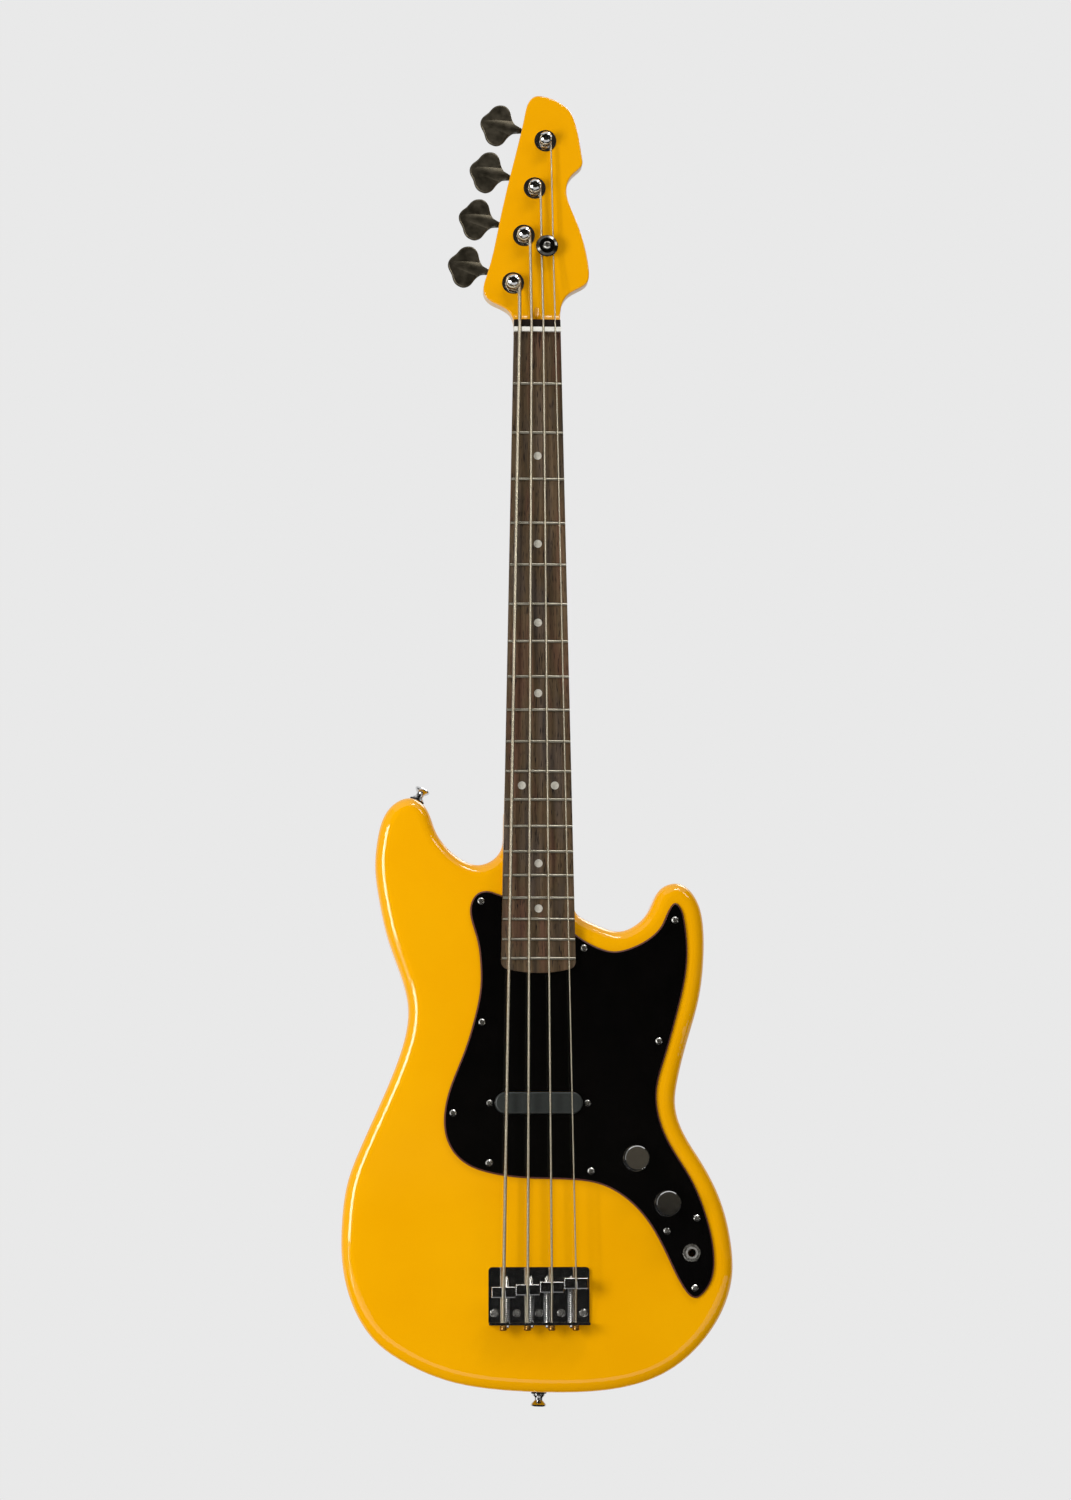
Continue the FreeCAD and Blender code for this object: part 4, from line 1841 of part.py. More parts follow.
def make_jack():
    """Open-frame jack: sleeve with flange, insulator and two contact springs."""
    x, z = control_spot("jack")
    front = f"({GUARD_FRONT} - jack_sleeve_proud)"
    back = f"({BODY_FRONT} + jack_flange_thickness)"
    sleeve = bar("jack_sleeve", "y", "jack_sleeve_diameter / 2", front, back, (x, z))
    flange = bar("jack_flange", "y", "jack_flange_diameter / 2", BODY_FRONT, back, (x, z))
    bore = bar("jack_bore", "y", "jack_bore_diameter / 2", f"{front} - 1", f"{back} + 1", (x, z))
    pieces = [cut("jack_shell", fuse("jack_shell_blank", sleeve, flange), bore)]
    for side in (-1, 1):
        inner = "(jack_bore_diameter / 2 + 1)"
        outer = f"({inner} + jack_strip_thickness)"
        low, high = (inner, outer) if side > 0 else (f"-{outer}", f"-{inner}")
        pieces.append(block(
            "jack_strip", (f"{x} + {low}", f"{x} + {high}"), (back, f"{back} + jack_frame_length"),
            (f"{z} - jack_strip_width / 2", f"{z} + jack_strip_width / 2"),
        ))
    compound("jack_socket", pieces)
    compound("jack_nut", nut_and_washer(control_spot("jack"), "jack_nut_width", "jack_nut_height",
                                        "jack_sleeve_diameter"))


def make_wiring():
    """Capacitor on the second control, and leads from the pickup to the controls and the jack."""
    pots = {name: [value(text) for text in control_spot(name)] for name in CONTROLS}
    wire = value("wire_diameter") / 2
    front = value(BODY_FRONT)
    pot = value("pot_diameter") / 2
    lug_y = front + value("pot_height") / 3 + 0.8
    floor_y = front + value("pot_height + capacitor_thickness") + 2 * wire
    deep_y = floor_y + 3 * wire
    below = pot + wire * 1.2
    tone_x, tone_z = pots["tone"]
    volume_x, volume_z = pots["volume"]
    jack_x, jack_z = pots["jack"]
    disc = Part.makeCylinder(
        value("capacitor_diameter") / 2, value("capacitor_thickness"),
        Vector(tone_x, front + value("pot_height") + value("seat_gap"), tone_z), PLUS_Y,
    )
    node("capacitor", feature("capacitor", disc))
    lug = pot / 2.5
    strip = value("jack_bore_diameter / 2 + 1 + jack_strip_thickness")
    base_back = value(f"{GUARD_FRONT} - pickup_proud + pickup_height + pickup_base_thickness")
    pickup_end = value("pickup_screw_spacing") / 2 - value("pickup_ear_width")
    lead_z = value(f"{PICKUP_Z} - pickup_ear_width / 2")
    routes = [
        [
            Vector(pickup_end, base_back, lead_z),
            Vector(pickup_end, deep_y, lead_z),
            Vector(pickup_end + value("pickup_ear_width * 1.5"), deep_y, lead_z),
            Vector(volume_x, deep_y, volume_z),
            Vector(volume_x - lug, deep_y, volume_z - below),
            Vector(volume_x - lug, lug_y, volume_z - below),
        ],
        [
            Vector(volume_x + lug, lug_y, volume_z - below),
            Vector(volume_x + lug, floor_y, volume_z - below),
            Vector(volume_x, floor_y, volume_z),
            Vector(tone_x, floor_y, tone_z),
            Vector(tone_x - lug, floor_y, tone_z - below),
            Vector(tone_x - lug, lug_y, tone_z - below),
        ],
        [
            Vector(tone_x + lug, lug_y, tone_z - below),
            Vector(tone_x + lug, deep_y, tone_z - below),
            Vector(tone_x, deep_y, tone_z),
            Vector(jack_x + strip + wire * 4, deep_y, jack_z),
            Vector(jack_x + strip, deep_y, jack_z),
        ],
    ]
    leads = [tube(bent_path(route, 3 * wire), wire) for route in routes]
    node("wiring", feature("wiring", Part.makeCompound(leads)))


# Build, test and write every sub-part

make_body()
make_neck()
make_truss_rod()
make_board()
make_frets()
make_nut()
make_tuners()
make_string_tree()
for string_number in range(len(STRINGS)):
    make_string(string_number)
make_neck_plate()
make_strap_buttons()
make_bridge_plate()
for string_number in range(len(STRINGS)):
    make_saddle(string_number)
make_intonation()
make_pickguard()
make_pickup()
make_controls()
make_jack()
make_wiring()
doc.recompute()

for thing in doc.Objects:
    if "Invalid" in thing.State or "Error" in thing.State:
        raise RuntimeError(f"{thing.Label} failed: {thing.State}")
for label, thing in nodes.items():
    if thing.Shape.isNull() or not thing.Shape.isValid() or not thing.Shape.Solids:
        raise RuntimeError(f"{label} has no valid solid")

os.makedirs("parts", exist_ok=True)
for label, thing in nodes.items():
    thing.Shape.exportStep(f"parts/{label}.step")
print(len(nodes), "sub-parts written")
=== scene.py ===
# %% [markdown]
# # A short-scale electric bass guitar
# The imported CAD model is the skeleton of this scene. Its solids already have the right shapes and places,
# so most of the lesson is about finishes. What is wound or soft on the real instrument, such as strings,
# springs, leads and felt, is built here as its own mesh, in metres, in the same frame as the CAD.

# %% Load the frame
import math

import bpy
from mathutils import Matrix, Quaternion, Vector


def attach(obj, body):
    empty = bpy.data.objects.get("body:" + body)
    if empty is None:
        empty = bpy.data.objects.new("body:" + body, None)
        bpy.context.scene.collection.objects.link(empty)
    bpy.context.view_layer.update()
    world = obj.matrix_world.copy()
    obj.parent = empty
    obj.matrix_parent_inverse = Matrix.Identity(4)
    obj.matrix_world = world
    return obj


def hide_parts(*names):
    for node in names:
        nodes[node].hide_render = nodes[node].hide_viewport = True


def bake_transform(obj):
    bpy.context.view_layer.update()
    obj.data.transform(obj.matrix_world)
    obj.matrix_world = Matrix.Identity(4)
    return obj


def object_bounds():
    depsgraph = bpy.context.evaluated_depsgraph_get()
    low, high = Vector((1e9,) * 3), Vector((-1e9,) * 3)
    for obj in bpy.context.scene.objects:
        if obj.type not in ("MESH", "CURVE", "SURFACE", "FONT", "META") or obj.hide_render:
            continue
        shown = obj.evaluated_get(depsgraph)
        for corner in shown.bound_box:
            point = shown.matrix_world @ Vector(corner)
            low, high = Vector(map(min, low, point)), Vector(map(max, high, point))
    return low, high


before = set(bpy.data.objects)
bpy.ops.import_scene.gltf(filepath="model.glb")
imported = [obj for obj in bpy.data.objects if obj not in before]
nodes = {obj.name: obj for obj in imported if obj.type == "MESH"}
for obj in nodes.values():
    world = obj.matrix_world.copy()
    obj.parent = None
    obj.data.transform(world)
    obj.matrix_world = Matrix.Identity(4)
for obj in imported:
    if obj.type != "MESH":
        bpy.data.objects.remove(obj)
cad_low, cad_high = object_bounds()

# %% [markdown]
# ## Camera
# The photograph was taken from about three metres away, with a long lens, at the height of the knobs and
# tilted up a little. A camera could be moved by eye until the view looks right. Here its values come from
# matching the frets, screws and posts to their places in the picture, so that every piece lands where it
# should. The long side of the picture is upright, and Blender's sensor width belongs to the long side.

# %% Make the camera
CAMERA_PLACE = Vector((-0.167, -3.0, -0.719))
CAMERA_YAW, CAMERA_PITCH, CAMERA_ROLL = (math.radians(angle) for angle in (3.15, 7.18, -0.12))
FOCAL_PIXELS, LONG_SIDE_PIXELS = 3786.0, 1500.0
SENSOR = 36.0

forward = Vector((
    math.sin(CAMERA_YAW) * math.cos(CAMERA_PITCH),
    math.cos(CAMERA_YAW) * math.cos(CAMERA_PITCH),
    math.sin(CAMERA_PITCH),
))
camera_data = bpy.data.cameras.new("photo_camera")
camera_data.sensor_fit = "AUTO"
camera_data.sensor_width = SENSOR
camera_data.lens = SENSOR * FOCAL_PIXELS / LONG_SIDE_PIXELS
camera = bpy.data.objects.new("photo_camera", camera_data)
bpy.context.scene.collection.objects.link(camera)
camera.location = CAMERA_PLACE
level = forward.to_track_quat("-Z", "Y")
camera.rotation_mode = "QUATERNION"
camera.rotation_quaternion = level @ Quaternion((0, 0, 1), CAMERA_ROLL)
bpy.context.scene.camera = camera
print("lens", round(camera_data.lens, 1), "mm")

# %% [markdown]
# ## Units, colours and nodes
# Real sizes on an instrument are given in millimetres, so one factor turns them into metres. Colours are
# written as sRGB hex, as a paint card gives them, and one function makes them linear for the shader. Nodes
# could be wired with the mouse in the shader editor. One small function that adds a node with its settings
# and links says the same in a line that can be read and changed, and every finish below uses it.

# %% Helpers for colours and nodes
MM = 0.001


def linear(code):
    """Linear RGBA of an sRGB hex colour."""
    parts = [int(code[at:at + 2], 16) / 255 for at in (0, 2, 4)]
    return tuple(c / 12.92 if c <= 0.04045 else ((c + 0.055) / 1.055) ** 2.4 for c in parts) + (1.0,)


def per_mm(size):
    """Scale of a pattern whose real size is given in millimetres."""
    return 1 / (size * MM)


def add(tree, kind, inputs=None, colours=(), **settings):
    """Add a node. An input is a value or another node's output; colours are a ramp's (place, hex) stops."""
    node = tree.nodes.new(kind)
    for name, setting in settings.items():
        setattr(node, name, setting)
    for name, given in (inputs or {}).items():
        if isinstance(given, bpy.types.NodeSocket):
            tree.links.new(given, node.inputs[name])
        else:
            node.inputs[name].default_value = given
    for number, (place, code) in enumerate(colours):
        stops = node.color_ramp.elements
        stop = stops[number] if number < len(stops) else stops.new(place)
        stop.position = place
        stop.color = linear(code)
    return node


def finish_named(name):
    """A new empty material: its node tree and a function that closes it with a shader."""
    material = bpy.data.materials.new(name)
    material.use_nodes = True
    tree = material.node_tree
    tree.nodes.clear()

    def close(inputs):
        shader = add(tree, "ShaderNodeBsdfPrincipled", inputs)
        add(tree, "ShaderNodeOutputMaterial", {"Surface": shader.outputs["BSDF"]})
        print(name, "has", len(tree.nodes), "nodes")
        return material

    return tree, close


def new_piece(name, points, faces, finish):
    """A mesh object with one finish, linked to the scene."""
    mesh = bpy.data.meshes.new(name)
    mesh.from_pydata(points, [], faces)
    mesh.materials.append(finish)
    piece = bpy.data.objects.new(name, mesh)
    bpy.context.scene.collection.objects.link(piece)
    return piece


print("sRGB 808080 is", round(linear("808080")[0], 3), "in linear light")

# %% [markdown]
# ## Floor
# The picture has one even pale grey ground without a horizon. A bent sheet of paper would give that from
# one side. A flat painted floor that grows clear towards its edge, so that the backdrop takes over, gives
# it from every side and still keeps the shadow of the bass. The paint glows a little, only where it is in
# sight, so that the floor looks as pale as the backdrop and sends no more light to the bass. The eye sees
# matt paint, barely mottled.

# %% Lay the floor
GROUND = linear("E9E9E9")
FLOOR_Z = cad_low.z - 0.30
FLOOR_HALF = 3.0
FLOOR_FADE_START, FLOOR_FADE_END = 1.0, 2.9
FLOOR_GLOW = 0.3
SPECK_MM = 60


def in_sight(tree):
    """1 where the camera, a reflection or glass looks, 0 where light only bounces."""
    rays = add(tree, "ShaderNodeLightPath").outputs
    seen = rays["Is Camera Ray"]
    for kind in ("Is Glossy Ray", "Is Transmission Ray"):
        seen = add(tree, "ShaderNodeMath", {0: seen, 1: rays[kind]}, operation="MAXIMUM").outputs["Value"]
    return seen


tree, close = finish_named("painted studio floor")
place = add(tree, "ShaderNodeTexCoord").outputs["Object"]
speck = add(tree, "ShaderNodeTexNoise", {"Vector": place, "Scale": per_mm(SPECK_MM)})
tone = add(tree, "ShaderNodeValToRGB", {"Fac": speck.outputs["Fac"]}, ((0.3, "E5E5E4"), (0.7, "E9E9E8")))
spread = add(tree, "ShaderNodeVectorMath", {0: place, 1: (0.0, 0.0, FLOOR_Z)}, operation="DISTANCE")
fade = add(tree, "ShaderNodeMapRange", {
    "Value": spread.outputs["Value"],
    "From Min": FLOOR_FADE_START,
    "From Max": FLOOR_FADE_END,
    "To Min": 1.0,
    "To Max": 0.0,
})
glow = add(tree, "ShaderNodeMath", {0: in_sight(tree), 1: FLOOR_GLOW}, operation="MULTIPLY")
floor_paint = close({
    "Base Color": tone.outputs["Color"],
    "Roughness": 0.8,
    "Emission Color": GROUND,
    "Emission Strength": glow.outputs["Value"],
    "Alpha": fade.outputs["Result"],
})
floor_corners = [(x * FLOOR_HALF, y * FLOOR_HALF, FLOOR_Z) for x, y in ((-1, -1), (1, -1), (1, 1), (-1, 1))]
floor = new_piece("floor", floor_corners, [range(4)], floor_paint)
print("floor at", round(FLOOR_Z, 3), "m")

# %% [markdown]
# ## Studio cards
# Polished metal only looks like metal when it has something dark to reflect, so a photographer stands cards
# around the object, out of the picture. A painted world could do this too, but cards can be placed one by
# one. One behind the camera and one on the right are graded from black through tan to brown, and one on the
# left is pale grey. A fourth lies on the floor under the bass and keeps the lower rim yellow. All are seen
# in reflections alone.

# %% Finishes of the cards
CARD_GRADE_LOW, CARD_GRADE_HIGH = -0.7, -0.45
NAP_MM = 20

# Matt card with a painted gradient: in chrome it gives a dark foot, a warm band and a brown sky.
tree, close = finish_named("graded studio card")
stands = add(tree, "ShaderNodeSeparateXYZ", {"Vector": add(tree, "ShaderNodeTexCoord").outputs["Object"]})
height = add(tree, "ShaderNodeMapRange", {
    "Value": stands.outputs["Z"],
    "From Min": CARD_GRADE_LOW,
    "From Max": CARD_GRADE_HIGH,
})
tone = add(tree, "ShaderNodeValToRGB", {"Fac": height.outputs["Result"]}, (
    (0.0, "0A0A09"), (0.4, "8A8170"), (1.0, "403C34"),
))
dark_card = close({"Base Color": tone.outputs["Color"], "Roughness": 1.0})

# Matt pale card: in lacquer and chrome it gives a soft light side.
tree, close = finish_named("grey studio card")
place = add(tree, "ShaderNodeTexCoord").outputs["Object"]
nap = add(tree, "ShaderNodeTexNoise", {"Vector": place, "Scale": per_mm(NAP_MM)})
tone = add(tree, "ShaderNodeValToRGB", {"Fac": nap.outputs["Fac"]}, ((0.3, "C6C6C2"), (0.7, "D2D2CE")))
grey_card = close({"Base Color": tone.outputs["Color"], "Roughness": 1.0})

# %% [markdown]
# ## Places of the cards
# The upright cards make three sides of a room that is open to the back, where the pale backdrop is. Boxes
# could make the room as well, but a single face is enough for a reflection and needs no thickness.

# %% Stand the cards
CARD_FRONT, CARD_BACK, CARD_SIDE = -3.5, 1.2, 2.9
CARD_LOW, CARD_HIGH = FLOOR_Z + 0.02, 2.6
LOW_FRONT, LOW_BACK = -0.5, 0.35


def upright(start, end):
    """Corners of a card that stands between two places on the floor."""
    return [(*start, CARD_LOW), (*end, CARD_LOW), (*end, CARD_HIGH), (*start, CARD_HIGH)]


left_front, left_back = (-CARD_SIDE, CARD_FRONT), (-CARD_SIDE, CARD_BACK)
right_front, right_back = (CARD_SIDE, CARD_FRONT), (CARD_SIDE, CARD_BACK)
under = ((-CARD_SIDE, LOW_FRONT), (-CARD_SIDE, LOW_BACK), (CARD_SIDE, LOW_BACK), (CARD_SIDE, LOW_FRONT))
CARDS = {
    "front_card": (dark_card, upright(left_front, right_front)),
    "left_card": (grey_card, upright(left_front, left_back)),
    "right_card": (dark_card, upright(right_front, right_back)),
    "low_card": (dark_card, [(*corner, CARD_LOW) for corner in under]),
}
for name, (finish, corners) in CARDS.items():
    card = new_piece(name, corners, [range(4)], finish)
    card.visible_camera = False
    card.visible_diffuse = False
    card.visible_shadow = False
print("cards", len(CARDS))

# %% [markdown]
# ## Backdrop
# The pale ground behind the bass could be a lit wall. The world does it with less: whatever is in sight has
# the ground's colour at strength 1, and all other rays get a weak even fill, so the backdrop doesn't flood
# the bass.

# %% Paint the backdrop
FILL_STRENGTH = 0.3
world = bpy.data.worlds.new("studio")
bpy.context.scene.world = world
world.use_nodes = True
tree = world.node_tree
tree.nodes.clear()
shown = add(tree, "ShaderNodeBackground", {"Color": GROUND, "Strength": 1.0})
fill = add(tree, "ShaderNodeBackground", {"Color": linear("F4F4F2"), "Strength": FILL_STRENGTH})
both = add(tree, "ShaderNodeMixShader", {
    0: in_sight(tree),
    1: fill.outputs["Background"],
    2: shown.outputs["Background"],
})
add(tree, "ShaderNodeOutputWorld", {"Surface": both.outputs["Shader"]})
bpy.context.scene.view_settings.view_transform = "Standard"
print("backdrop", [round(c, 2) for c in GROUND[:3]], "fill", FILL_STRENGTH)

# %% [markdown]
# ## Lamps
# A broad softbox from the left lights the front, a narrow strip beside it draws the bright line along the
# rim, and weaker ones above and on the right open the shadows. One behind the bass lights its back for the
# other views. Point lamps would be simpler, but only a wide lamp gives lacquer a wide, soft highlight.

# %% Hang the lamps
LAMPS = (
    # name, place, aim, power in watts, width, height
    ("key_softbox", (-1.3, -1.3, -0.3), (-0.05, 0.0, -0.55), 20, 0.6, 0.9),
    ("strip_softbox", (-1.9, -1.4, -0.5), (0.0, 0.0, -0.5), 8, 0.1, 1.7),
    ("top_softbox", (0.5, -1.0, 1.5), (0.0, 0.0, -0.5), 14, 0.9, 0.3),
    ("fill_softbox", (1.5, -1.2, 0.9), (0.1, 0.0, -0.4), 5, 0.5, 0.5),
    ("back_softbox", (0.9, 1.3, 1.2), (0.0, 0.0, -0.45), 16, 0.9, 0.9),
)
for name, place, aim, power, width, height in LAMPS:
    lamp_data = bpy.data.lights.new(name, "AREA")
    lamp_data.shape = "RECTANGLE"
    lamp_data.size = width
    lamp_data.size_y = height
    lamp_data.energy = power
    lamp = bpy.data.objects.new(name, lamp_data)
    bpy.context.scene.collection.objects.link(lamp)
    lamp.visible_camera = False
    lamp.location = place
    lamp.rotation_mode = "QUATERNION"
    lamp.rotation_quaternion = (Vector(aim) - Vector(place)).to_track_quat("-Z", "Y")
print("lamps", len(LAMPS))

# %% [markdown]
# ## Smooth surfaces
# CAD meshes come as flat facets. A shading normal that runs over small angles makes a lathe-turned post
# look round, while a real edge stays sharp. Sharp edges could be marked by hand. A modifier that splits
# them by their angle does it for all nodes at once and leaves the CAD mesh as it is.

# %% Shade the CAD nodes
SHARP_ANGLE = math.radians(28)
for node in nodes.values():
    node.data.polygons.foreach_set("use_smooth", [True] * len(node.data.polygons))
    edge = node.modifiers.new("sharp_edges", "EDGE_SPLIT")
    edge.split_angle = SHARP_ANGLE
print("shaded facets", sum(len(node.data.polygons) for node in nodes.values()))

# %% [markdown]
# ## Yellow polyester lacquer
# The body is sprayed with an opaque warm yellow and a thick clear coat, then buffed. The eye sees an even
# colour with sharp reflections, and only a faint unevenness where the coat follows the wood. One glossy
# layer could do, but then the paint would gleam as well. The binder of the paint bends light as the clear
# coat does, so only the coat's own surface reflects here, and only that surface has the ripple called
# orange peel.

# %% Lacquer
CLOUD_MM, PEEL_MM = 90, 7
tree, close = finish_named("yellow polyester lacquer")
place = add(tree, "ShaderNodeTexCoord").outputs["Object"]
cloud = add(tree, "ShaderNodeTexNoise", {"Vector": place, "Scale": per_mm(CLOUD_MM), "Detail": 3.0})
tone = add(tree, "ShaderNodeValToRGB", {"Fac": cloud.outputs["Fac"]}, ((0.25, "EFA600"), (0.75, "F4AE02")))
peel = add(tree, "ShaderNodeTexNoise", {"Vector": place, "Scale": per_mm(PEEL_MM), "Detail": 1.0})
ripple = add(tree, "ShaderNodeBump", {"Height": peel.outputs["Fac"], "Strength": 0.06, "Distance": 0.2 * MM})
lacquer = close({
    "Base Color": tone.outputs["Color"],
    "Roughness": 0.5,
    "Specular IOR Level": 0.0,
    "Coat Weight": 1.0,
    "Coat Roughness": 0.03,
    "Coat IOR": 1.5,
    "Coat Normal": ripple.outputs["Normal"],
})

# %% [markdown]
# ## Maple
# The neck is rock maple under a satin lacquer: pale, with a fine grain along its length and a soft sheen. A
# wave pattern would make the grain too regular, so it is noise that is stretched along the neck.

# %% Maple
GRAIN_MM = (1.6, 1.6, 70)
tree, close = finish_named("satin maple")
place = add(tree, "ShaderNodeTexCoord").outputs["Object"]
laid = add(tree, "ShaderNodeMapping", {"Vector": place, "Scale": tuple(map(per_mm, GRAIN_MM))})
grain = add(tree, "ShaderNodeTexNoise", {
    "Vector": laid.outputs["Vector"],
    "Scale": 1.0,
    "Detail": 6.0,
    "Roughness": 0.62,
})
wood = add(tree, "ShaderNodeValToRGB", {"Fac": grain.outputs["Fac"]}, (
    (0.25, "B98F5B"), (0.5, "D3AE7A"), (0.8, "E2C596"),
))
fibre = add(tree, "ShaderNodeBump", {"Height": grain.outputs["Fac"], "Strength": 0.05, "Distance": 0.2 * MM})
maple = close({
    "Base Color": wood.outputs["Color"],
    "Roughness": 0.6,
    "Specular IOR Level": 0.0,
    "Coat Weight": 1.0,
    "Coat Roughness": 0.3,
    "Normal": fibre.outputs["Normal"],
})

# %% [markdown]
# ## Paint on the headstock
# Only the face of the headstock has the body's yellow, a touch deeper. The eye sees the same even colour
# and gloss. It could be mixed into the maple by a mask, but paint and wood differ in gloss too, so it is a
# finish of its own, and the facets of the face take it further below.

# %% Headstock lacquer
HEAD_CLOUD_MM = 60
tree, close = finish_named("yellow headstock lacquer")
place = add(tree, "ShaderNodeTexCoord").outputs["Object"]
cloud = add(tree, "ShaderNodeTexNoise", {"Vector": place, "Scale": per_mm(HEAD_CLOUD_MM), "Detail": 3.0})
tone = add(tree, "ShaderNodeValToRGB", {"Fac": cloud.outputs["Fac"]}, ((0.25, "EBA200"), (0.75, "EFA804")))
headstock_lacquer = close({
    "Base Color": tone.outputs["Color"],
    "Roughness": 0.6,
    "Specular IOR Level": 0.0,
    "Coat Weight": 1.0,
    "Coat Roughness": 0.05,
})

# %% [markdown]
# ## Rosewood
# The fingerboard is oiled rosewood. The eye sees dark and brown streaks that run along the neck, short open
# pores and hardly any gloss. A single noise would look like smoke, so the streaks are noise stretched along
# the neck and bent a little by a second, wider one, and broad patches of grey and red lie under them. The
# narrow strip behind the nut is coloured nearly black.

# %% Streaks of the rosewood
SWAY_MM, STREAK_MM = (40, 40, 120), (4.2, 4.2, 150)
PATCH_MM, PORE_MM = (13, 13, 90), (0.7, 0.7, 9)
tree, close = finish_named("oiled rosewood")
place = add(tree, "ShaderNodeTexCoord").outputs["Object"]
swayed, straight, patched, pored = (
    add(tree, "ShaderNodeMapping", {"Vector": place, "Scale": tuple(map(per_mm, size))}).outputs["Vector"]
    for size in (SWAY_MM, STREAK_MM, PATCH_MM, PORE_MM)
)
bend = add(tree, "ShaderNodeTexNoise", {"Vector": swayed, "Scale": 1.0, "Detail": 2.0})
sway = add(tree, "ShaderNodeVectorMath", {0: bend.outputs["Color"], "Scale": 1.6}, operation="SCALE")
laid = add(tree, "ShaderNodeVectorMath", {0: straight, 1: sway.outputs["Vector"]}, operation="ADD")
streak = add(tree, "ShaderNodeTexNoise", {
    "Vector": laid.outputs["Vector"],
    "Scale": 1.0,
    "Detail": 7.0,
    "Roughness": 0.62,
})
streaks = add(tree, "ShaderNodeValToRGB", {"Fac": streak.outputs["Fac"]}, (
    (0.3, "241A12"), (0.45, "3E2F20"), (0.56, "584634"), (0.68, "725D45"), (0.8, "382A1E"),
))
patch = add(tree, "ShaderNodeTexNoise", {"Vector": patched, "Scale": 1.0, "Detail": 2.0})
tints = add(tree, "ShaderNodeValToRGB", {"Fac": patch.outputs["Fac"]}, (
    (0.35, "544C46"), (0.5, "5C4C34"), (0.65, "6B4637"),
))
tinted = add(tree, "ShaderNodeMix", {
    "Factor": 0.4,
    "A": streaks.outputs["Color"],
    "B": tints.outputs["Color"],
}, data_type="RGBA")
print("streaks", STREAK_MM[0], "mm wide and", STREAK_MM[2], "mm long")

# %% [markdown]
# ## Pores and the dark strip behind the nut
# Pores are short dark dents, so one noise gives both their colour and their depth. The dark strip could be
# a second material on a few facets. As it is all that lies behind the nut, the height above the nut is
# enough.

# %% Pores of the rosewood
DARK_STRIP_START = 2.0
pore = add(tree, "ShaderNodeTexNoise", {"Vector": pored, "Scale": 1.0, "Detail": 2.0})
hole = add(tree, "ShaderNodeMapRange", {"Value": pore.outputs["Fac"], "From Min": 0.58, "From Max": 0.68})
dark = add(tree, "ShaderNodeMix", {
    "Factor": hole.outputs["Result"],
    "A": tinted.outputs["Result"],
    "B": linear("120C0A"),
}, data_type="RGBA")
stands = add(tree, "ShaderNodeSeparateXYZ", {"Vector": place})
# Everything above this height, the strip behind the nut, is coloured nearly black.
behind_nut = add(tree, "ShaderNodeMath", {
    0: stands.outputs["Z"],
    1: DARK_STRIP_START * MM,
}, operation="GREATER_THAN")
board = add(tree, "ShaderNodeMix", {
    "Factor": behind_nut.outputs["Value"],
    "A": dark.outputs["Result"],
    "B": linear("1C140C"),
}, data_type="RGBA")
dents = add(tree, "ShaderNodeBump", {
    "Height": hole.outputs["Result"],
    "Strength": 0.25,
    "Distance": 0.2 * MM,
}, invert=True)
rosewood = close({
    "Base Color": board.outputs["Result"],
    "Roughness": 0.55,
    "Specular IOR Level": 0.15,
    "Normal": dents.outputs["Normal"],
})

# %% [markdown]
# ## Black laminate
# The pickguard is cut from a black acrylic laminate. The eye sees a deep black mirror, a little broken by
# fine wiping marks, with the brown core as a thin line on the bevel. The bevel could be a separate strip,
# but its faces already look another way than the flat front does, so the colour follows the direction of
# the face.

# %% Pickguard laminate
MOTTLE_MM, WIPE_MM = 25, (2.5, 2.5, 30)
FLAT_LIMIT = 0.95
tree, close = finish_named("black acrylic laminate")
coordinates = add(tree, "ShaderNodeTexCoord").outputs
place = coordinates["Object"]
looks = add(tree, "ShaderNodeSeparateXYZ", {"Vector": coordinates["Normal"]})
flat = add(tree, "ShaderNodeMath", {0: looks.outputs["Y"]}, operation="ABSOLUTE")
slanted = add(tree, "ShaderNodeMath", {0: flat.outputs["Value"], 1: FLAT_LIMIT}, operation="LESS_THAN")
mottle = add(tree, "ShaderNodeTexNoise", {"Vector": place, "Scale": per_mm(MOTTLE_MM), "Detail": 4.0})
black = add(tree, "ShaderNodeValToRGB", {"Fac": mottle.outputs["Fac"]}, ((0.3, "020202"), (0.7, "050404")))
core = add(tree, "ShaderNodeMix", {
    "Factor": slanted.outputs["Value"],
    "A": black.outputs["Color"],
    "B": linear("5E3A30"),
}, data_type="RGBA")
laid = add(tree, "ShaderNodeMapping", {"Vector": place, "Scale": tuple(map(per_mm, WIPE_MM))})
wipe = add(tree, "ShaderNodeTexNoise", {"Vector": laid.outputs["Vector"], "Scale": 1.0, "Detail": 3.0})
gloss = add(tree, "ShaderNodeMapRange", {"Value": wipe.outputs["Fac"], "To Min": 0.09, "To Max": 0.2})
laminate = close({
    "Base Color": core.outputs["Result"],
    "Roughness": gloss.outputs["Result"],
    "IOR": 1.49,
    "Specular IOR Level": 0.3,
})
